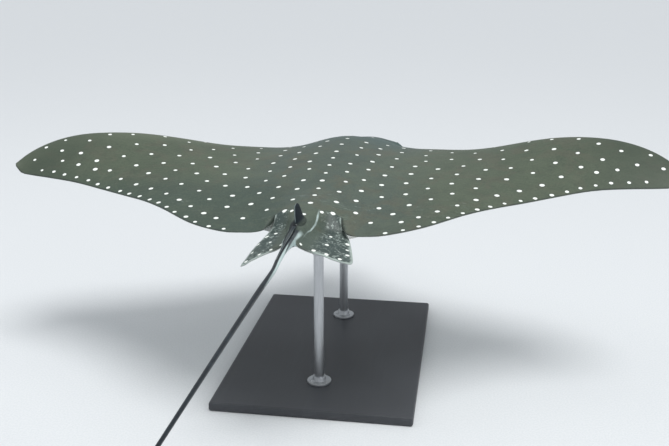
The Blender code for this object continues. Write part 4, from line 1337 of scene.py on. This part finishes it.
def skinFinish():
    look = skinLook
    f = Finish("rayHide", Specular_IOR_Level=0.45, Coat_Roughness=0.30)
    flat = f.read("flat", "Vector")
    across, aft, _ = f.split(flat)
    back, pelvic, fin = f.split(f.read("marks", "Vector"))
    hind, fore, hollow = f.split(f.read("margins", "Vector"))
    around, over, outside = f.split(f.read("tail", "Vector"))
    fold, flank, finGlint = f.split(f.read("lines", "Vector"))
    broad = f.noise(flat, 9.0, 3.0, 0.55)
    cloud = f.noise(flat, 42.0, 3.0, 0.6, 0.4)
    fleck = f.noise(flat, 330.0, 3.0, 0.65)
    grain = f.noise(flat, 900.0, 2.0, 0.6)
    black = darkTail(f, flat, aft, around, over, cloud)

    wander = (f.noise(flat, 120.0, 2.0) - 0.5) * look["wander"]
    rim = hind + wander
    # a painted highlight along the fold right of the tail's root
    width = f.between(aft, *look["foldNarrows"]) * look["foldWide"] + look["foldThin"]
    line = f.band(fold + wander * 0.12, width, 1.3, 0.5)
    line = line * f.between(aft, *look["foldStart"]) * f.between(aft, *look["foldEnd"])
    left = f.between(across, *look["leftAcross"])
    # painted shade on the tail's left flank, in the tail's near-black
    leftShade = f.between(aft, *look["leftShadeAft"]) * f.between(flank, *look["flankEdge"]) * left
    rightDark = f.between(aft, *look["rightDarkAft"]) * f.between(outside, *look["rightDarkOff"])
    rightDark = rightDark * (1 - left)
    flankOff, flankWide = look["flankLine"]
    flankRim = f.band(flank - flankOff, flankWide, 1.3, 0.4)
    flankRim = flankRim * f.between(aft, *look["flankStart"]) * f.between(aft, *look["flankEnd"])
    upper = plainBack(f, flat, aft, across, fore, cloud, fleck, broad)
    upper = f.coats(
        wornSkin(f, upper, flat, aft, pelvic, fleck),
        (f.between(rim, *look["rimIn"]) * (1 - pelvic) * 0.55, look["edgeLine"]),
        (f.between(rim, *look["finRimIn"]) * pelvic * 0.80, look["palePatch"]),
        # painted highlight along the fold
        (line * (0.35 + f.between(cloud, 0.40, 0.62) * 0.55), look["tailPale"]),
        # painted shade on the left flank, and the tail's own colour on its right
        (leftShade + rightDark, black),
        # the near-black dorsal fin, with a painted highlight on its hind edge
        (fin * 0.95, f.blend(finGlint * 0.70, look["finBlack"], look["tailPale"])),
        (flankRim * 0.60, look["tailPale"]))
    upper = whiteSpots(f, upper, flat, pelvic)
    # painted shade in the hollows of the back
    upper = f.blend(f.between(hollow, 0.15, 0.80), upper, look["hollowShadeAbove"])

    tail = f.between(aft, *look["tailAft"]) * f.between(outside, *look["tailOff"])
    lower = f.blend(tail, underside(f, broad, cloud, hind, fore), black)
    # painted shade in the hollows of the belly, over their reddish inside
    lower = f.blend(f.between(hollow, 0.10, 0.85), lower, look["hollowShadeBelow"])
    border = f.between(back + (cloud - 0.5) * 0.4, 0.30, 0.62)
    f.lay("Base Color", f.blend(border, lower, upper))
    rough = look["rough"] + (fleck - 0.5) * look["roughVary"]
    f.lay("Roughness", rough + hollow * -0.2 - tail * 0.12 + fin * 0.40)

    rays = f.maths("SINE", f.read("fan") * 190.0)  # the cartilage rays that fan out under the skin
    height = grain * 0.35 + fleck * 0.55 + f.noise(flat, 150.0, 2.0) * 0.9 + rays * 0.10 + cloud * 1.4
    f.lay("Normal", f.bump(height, *look["bump"]))
    return f.material


skin.data.materials.clear()
skin.data.materials.append(skinFinish())
skin.data.polygons.foreach_set("material_index", [0] * len(skin.data.polygons))
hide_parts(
    "snout", "head", "trunk", "pectoral_left", "pectoral_right", "pelvic_left", "pelvic_right",
    "dorsal_fin", "tail_base", "tail_fore", "tail_middle", "tail_rear", "tail_whip")
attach(skin, "root")
print("skin finished")


# ---- eyes: a dark ball with a bulging cornea, a gold-brown iris and a wide pupil under a lobed curtain

eyeBall = {
    "rings": 56, "sides": 96, "bulge": 0.045, "bulgeReach": 0.50,
    "iris": 0.60, "pupilLong": 0.40, "pupilHigh": 0.205, "lobe": 0.155, "lobeHalf": 0.20,
    "irisDark": paint(38, 27, 16), "irisLight": paint(132, 98, 52), "rimDark": paint(12, 11, 11),
    "white": paint(58, 54, 50), "pupil": paint(3, 3, 4),
}


def eyeFinish():
    look = eyeBall
    f = Finish("rayEye", Roughness=0.16, Coat_Weight=1.0, Coat_Roughness=0.03, Specular_IOR_Level=0.6)
    forth, rise, _ = f.split(f.read("gaze", "Vector"))
    out = f.maths("SQRT", forth * forth + rise * rise)
    angle = f.maths("ARCTAN2", rise, forth)
    spokes = f.node("ShaderNodeCombineXYZ", {}, {0: angle * 9.0, 1: out * 3.0, 2: 0.0})
    streak = f.noise(spokes, 2.2, 4.0, 0.65, 0.3)
    iris = f.blend(f.between(streak, 0.34, 0.70), look["irisDark"], look["irisLight"])
    iris = f.blend(f.between(out, look["iris"] - 0.16, look["iris"]) * 0.85, iris, look["rimDark"])
    ball = f.blend(f.between(out, look["iris"] - 0.02, look["iris"] + 0.03), iris, look["white"])
    across = forth / look["pupilLong"]
    upright = rise / look["pupilHigh"]
    hole = f.between(across * across + upright * upright, 1.06, 0.94)
    side = forth / look["lobeHalf"]
    drop = (rise - look["pupilHigh"]) / look["lobe"]
    curtain = f.between(side * side + drop * drop, 1.08, 0.92)
    ball = f.blend(hole * (1 - curtain), ball, look["pupil"])
    f.lay("Base Color", ball)
    f.lay("Normal", f.bump(streak * f.between(out, 0.62, 0.50), 0.15, 0.0004))
    return f.material


def eyePiece(name, side, material):
    centre, gaze, along, up = eyeAxes(side)
    middle = beaten(centre[None] * ray["discWidth"])[0]
    radius, sides = eye["ball"] * ray["discWidth"], eyeBall["sides"]
    points, looks, faces = [middle + gaze * radius * (1 + eyeBall["bulge"])], [(0.0, 0.0, 1.0)], []
    for i in range(1, eyeBall["rings"]):
        turn = math.pi * i / eyeBall["rings"]
        size = 1 + eyeBall["bulge"] * math.exp(-((turn / eyeBall["bulgeReach"]) ** 4))
        for j in range(sides):
            a = 2 * math.pi * j / sides
            local = (math.sin(turn) * math.cos(a), math.sin(turn) * math.sin(a), math.cos(turn))
            points.append(middle + size * radius * (along * local[0] + up * local[1] + gaze * local[2]))
            looks.append(local)
    points.append(middle - gaze * radius)
    looks.append((0.0, 0.0, -1.0))
    last = 1 + (eyeBall["rings"] - 2) * sides
    for j in range(sides):
        k = (j + 1) % sides
        faces.append((0, 1 + j, 1 + k))
        faces.append((len(points) - 1, last + k, last + j))
        faces.extend((row + j, row + sides + j, row + sides + k, row + k) for row in range(1, last, sides))
    return pieceFrom(name, points, faces, material, gaze=looks)


eyeMaterial = eyeFinish()
for side, word in ((1, "left"), (-1, "right")):
    ball = eyePiece(f"eyeball_{word}", side, eyeMaterial)
    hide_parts(f"eye_{word}")
    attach(ball, "root")
print("eyes set")


# ---- tail spines: flat barbs with saw edges that point back to the root, and a groove along the middle

spines = {
    "nodes": ("sting_upper", "sting_lower"),
    "radius": (0.0042, 0.0006), "flat": 0.38, "tooth": 0.0026, "bite": 0.24, "step": 0.0005,
    "toothless": 0.12, "toothGrowth": 0.06, "clear": 0.0006, "sharp": 40,
    "section": (  # (out, up) from the blade's middle
        (-1, 0), (-0.62, 0.62), (-0.30, 0.96), (0, 0.62), (0.30, 0.96), (0.62, 0.62), (1, 0), (0.6, -0.75),
        (0, -1.0), (-0.6, -0.75)),
    "bone": paint(74, 82, 84), "boneDark": paint(44, 52, 56), "tip": paint(150, 156, 150),
    "sheath": paint(30, 40, 46),
}


def aftOf(y):  # from the world back to disc widths behind the snout
    return y / ray["discWidth"] + ray["balance"]


def spineFinish():
    look = spines
    f = Finish("spineBone", Specular_IOR_Level=0.5)
    along, across, _ = f.split(f.read("blade", "Vector"))
    place = f.place()
    lines = f.noise(f.stretched(place, 900.0, 26.0, 900.0), 1.0, 3.0, 0.6)
    bone = f.blend(f.between(lines, 0.38, 0.70), look["bone"], look["boneDark"])
    bone = f.blend(f.between(across, 0.30, 0.0) * 0.45, bone, look["boneDark"])
    bone = f.blend(f.between(across, 0.70, 1.0) * 0.60, bone, look["tip"])
    bone = f.blend(f.between(along + (lines - 0.5) * 0.10, 0.16, 0.04) * 0.8, bone, look["sheath"])
    bone = f.blend(f.between(along, 0.80, 1.0) * 0.5, bone, look["tip"])
    f.lay("Base Color", bone)
    f.lay("Roughness", 0.36 + lines * 0.22)
    f.lay("Normal", f.bump(lines, 0.35, 0.0004))
    return f.material


def spinePiece(name, node, material):
    low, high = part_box(node)
    length = high.y - low.y
    start, count = spines["toothless"], round(length / spines["step"])
    ends = smoothLine(aftOf(np.array((low.y, high.y))), wingBeat["sway"])
    points, looks, faces, previous = [], [], [], None
    for i in range(count + 1):
        share = i / count
        y = low.y + share * length
        radius = mixed(*spines["radius"], share)
        phase = (share * length / spines["tooth"]) % 1.0
        saw = spines["bite"] * (1 - phase) * float(eased(share, start, start + spines["toothGrowth"]))
        edge = radius * (1 - spines["bite"] + saw) * float(eased(1 - share, -0.02, 0.05))
        thick = radius * spines["flat"] * float(eased(1 - share, -0.04, 0.05))
        z = ray["glideHeight"] + ray["discWidth"] * tailTop(aftOf(y)) + thick + spines["clear"]
        sway = float(smoothLine(aftOf(y), wingBeat["sway"]) - ends.mean())
        x = (low.x + high.x) / 2 + sway * ray["discWidth"]
        row = range(len(points), len(points) + len(spines["section"]))
        points.extend((x + out * edge, y, z + up * thick) for out, up in spines["section"])
        looks.extend((share, abs(out), 0.0) for out, up in spines["section"])
        if previous:
            for j in range(len(row)):
                k = (j + 1) % len(row)
                faces.append((previous[j], previous[k], row[k], row[j]))
        else:
            faces.append(tuple(row))
        previous = row
    faces.append(tuple(reversed(previous)))
    return pieceFrom(name, points, faces, material, sharp=spines["sharp"], blade=looks)


spineMaterial = spineFinish()
for node in spines["nodes"]:
    barb = spinePiece(node + "_barb", node, spineMaterial)
    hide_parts(node)
    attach(barb, "root")
print("spines made")


# ---- display stand: the painted board and steel rods are CAD nodes; collars and sockets hold the rods

stand = {
    "collarRadius": 0.027, "collarHeight": 0.016, "sharp": 32,
    "screws": 3, "screwRing": 0.0195, "screwRadius": 0.0034, "screwTurn": 0.08, "screwFoot": 0.0052,
    "screwSides": 24,
    "socketRadius": 0.0175, "socketDrop": 0.030, "socketSink": 0.004, "sides": 72,
    "board": paint(52, 54, 58), "boardLight": paint(74, 77, 82), "boardWear": paint(112, 110, 104),
    "steel": paint(192, 194, 197), "steelDark": paint(174, 177, 180),
}


def boardFinish():
    look = stand
    f = Finish("boardPaint", Specular_IOR_Level=0.5, Coat_Roughness=0.25)
    place = f.place()
    figure = f.noise(f.stretched(place, 60.0, 5.0, 60.0), 1.0, 4.0, 0.6, 0.6)
    orange = f.noise(place, 420.0, 2.0, 0.5)
    tone = f.blend(f.between(f.noise(place, 3.0, 2.0), 0.35, 0.70) * 0.4, look["board"], look["boardLight"])
    tone = f.blend(f.between(figure, 0.45, 0.75) * 0.25, tone, look["boardLight"])
    nib = f.between(f.noise(place, 900.0, 1.0), 0.72, 0.80)
    tone = f.blend(nib * 0.25, tone, look["boardWear"])
    f.lay("Base Color", tone)
    f.lay("Roughness", 0.42 + figure * 0.10 + nib * 0.1)
    f.lay("Normal", f.bump(figure + orange * 0.6, 0.22, 0.0006))
    return f.material


def steelFinish():
    look = stand
    f = Finish("rodSteel", Metallic=1.0)
    place = f.place()
    brushed = f.noise(f.stretched(place, 1400.0, 1400.0, 24.0), 1.0, 3.0, 0.6)
    turned = f.noise(f.stretched(place, 24.0, 24.0, 2200.0), 1.0, 2.0, 0.5)
    f.lay("Base Color", f.blend(f.between(brushed, 0.36, 0.68), look["steel"], look["steelDark"]))
    f.lay("Roughness", 0.30 + brushed * 0.10 + f.noise(place, 30.0, 2.0) * 0.06)
    f.lay("Normal", f.bump(brushed * 0.5 + turned * 0.3, 0.08, 0.0002))
    return f.material


def revolve(profile, centre, sides, points, faces):  # turns (radius, height) round an upright axis
    rows = []
    for radius, height in profile:
        rows.append(len(points))
        for a in [2 * math.pi * j / sides for j in range(sides)]:
            points.append((centre[0] + radius * math.cos(a), centre[1] + radius * math.sin(a), height))
    for row, following in zip(rows, rows[1:]):
        for j in range(sides):
            k = (j + 1) % sides
            faces.append((row + j, row + k, following + k, following + j))
    faces.append(tuple(range(rows[0], rows[0] + sides))[::-1])
    faces.append(tuple(range(rows[-1], rows[-1] + sides)))


def rodAt(node):  # a rod's middle, radius, foot and top
    low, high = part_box(node)
    return ((low.x + high.x) / 2, (low.y + high.y) / 2), (high.x - low.x) / 2, low.z, high.z


def collarPiece(name, node, material):
    centre, rod, foot, _ = rodAt(node)
    points, faces = [], []
    r, h = stand["collarRadius"], stand["collarHeight"]
    profile = [
        (r - 0.0004, 0.0), (r, 0.0006), (r, 0.0042), (r - 0.0003, 0.0050), (r - 0.0012, 0.0054),
        (rod + 0.0070, 0.0058), (rod + 0.0046, 0.0066), (rod + 0.0036, 0.0084), (rod + 0.0034, h - 0.0012),
        (rod + 0.0028, h - 0.0003), (rod + 0.0018, h), (rod + 0.0003, h)]
    revolve([(out, foot + up) for out, up in profile], centre, stand["sides"], points, faces)
    for i in range(stand["screws"]):  # domed screws with a round recess
        a = 2 * math.pi * (i / stand["screws"] + stand["screwTurn"])
        spot = (centre[0] + stand["screwRing"] * math.cos(a), centre[1] + stand["screwRing"] * math.sin(a))
        s, z = stand["screwRadius"], foot + stand["screwFoot"]
        dome = [
            (s, 0.0), (s, 0.0007), (0.90 * s, 0.0014), (0.72 * s, 0.0019), (0.46 * s, 0.0021),
            (0.44 * s, 0.0009), (0.02 * s, 0.0008)]
        revolve([(out, z + up) for out, up in dome], spot, stand["screwSides"], points, faces)
    return pieceFrom(name, points, faces, material, sharp=stand["sharp"])


def socketPiece(name, node, material):  # tapered cup under the belly that takes the rod's end
    centre, rod, _, head = rodAt(node)
    top, foot, r = head + stand["socketSink"], head - stand["socketDrop"], stand["socketRadius"]
    profile = [
        (rod + 0.0004, foot), (rod + 0.0022, foot + 0.0003), (rod + 0.0030, foot + 0.0012),
        (rod + 0.0034, foot + 0.0100), (rod + 0.0042, foot + 0.0180), (r - 0.0020, top - 0.0100),
        (r, top - 0.0060), (r, top - 0.0005), (r - 0.001, top)]
    points, faces = [], []
    revolve(profile, centre, stand["sides"], points, faces)
    return pieceFrom(name, points, faces, material, sharp=stand["sharp"])


def dress(node, material):  # gives a CAD node a better material
    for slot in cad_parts[node].material_slots:
        slot.material = material


boardMaterial, steelMaterial = boardFinish(), steelFinish()
dress("stand_base", boardMaterial)
for word in ("front", "rear"):
    dress(f"stand_rod_{word}", steelMaterial)
    for maker, what in ((collarPiece, "collar"), (socketPiece, "socket")):
        piece = maker(f"stand_{what}_{word}", f"stand_rod_{word}", steelMaterial)
        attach(piece, "root")
print("stand dressed")


# ---- floor, light and camera

stage = {
    "floorHalf": 60.0, "floor": paint(222, 224, 226), "floorShade": paint(216, 219, 221),
    "sky": (0.90, 0.95, 1.0), "skyStrength": 0.50,
    "sunStrength": 1.75, "sunAngle": 28.0, "sunPlace": (-0.9, 0.8, 3.0),
    "lights": (  # (name, place, aim, size, watts, colour)
        ("overhead", (-0.6, 0.6, 4.2), (0.0, 0.3, 0.4), (3.6, 4.4), 40.0, (1.0, 0.99, 0.96)),
        ("fill", (-3.4, 3.2, 2.6), (0.0, 0.2, 0.4), (2.4, 2.4), 16.0, (0.95, 0.98, 1.0)),
        ("side", (3.6, 0.4, 2.4), (0.0, 0.1, 0.4), (2.2, 2.2), 10.0, (0.96, 0.98, 1.0)),
    ),
    "cameraPlace": (-0.305, 1.931, 0.939), "cameraLook": (0.1465, -0.9444, -0.2945), "lens": 46.9,
    "farthest": 200.0,
}


def makeFloor():
    half = stage["floorHalf"]
    f = Finish("floorPaper", Roughness=0.75, Specular_IOR_Level=0.25)
    tooth = f.noise(f.place(), 240.0, 2.0, 0.5)
    f.lay("Base Color", f.blend(f.between(tooth, 0.35, 0.65), stage["floor"], stage["floorShade"]))
    corners = [(-half, -half, 0), (half, -half, 0), (half, half, 0), (-half, half, 0)]
    pieceFrom("floor", corners, [(0, 1, 2, 3)], f.material)


def placed(name, data, place, look):  # a light or camera, turned to look along a direction
    thing = newObject(name, data)
    thing.location = place
    thing.rotation_euler = Vector(look).to_track_quat("-Z", "Y").to_euler()
    return thing


def makeLight(name, place, aim, size, watts, colour):
    lamp = bpy.data.lights.new(name, "AREA")
    lamp.shape, lamp.size, lamp.size_y = "RECTANGLE", *size
    lamp.energy, lamp.color = watts, colour
    placed(name, lamp, place, Vector(aim) - Vector(place))


def makeSun():
    sun = bpy.data.lights.new("sun", "SUN")
    sun.energy, sun.angle = stage["sunStrength"], math.radians(stage["sunAngle"])
    placed("sun", sun, (0, 0, 0), -Vector(stage["sunPlace"]))


def makeCamera():
    camera = bpy.data.cameras.new("camera")
    camera.lens, camera.clip_end = stage["lens"], stage["farthest"]
    bpy.context.scene.camera = placed("camera", camera, stage["cameraPlace"], stage["cameraLook"])


makeFloor()
makeSun()
for light in stage["lights"]:
    makeLight(*light)
makeCamera()
world = bpy.data.worlds.new("studio")
world.use_nodes = True
world.node_tree.nodes["Background"].inputs["Color"].default_value = (*stage["sky"], 1.0)
world.node_tree.nodes["Background"].inputs["Strength"].default_value = stage["skyStrength"]
bpy.context.scene.world = world
bpy.context.scene.view_settings.view_transform = "Standard"
print("stage set")
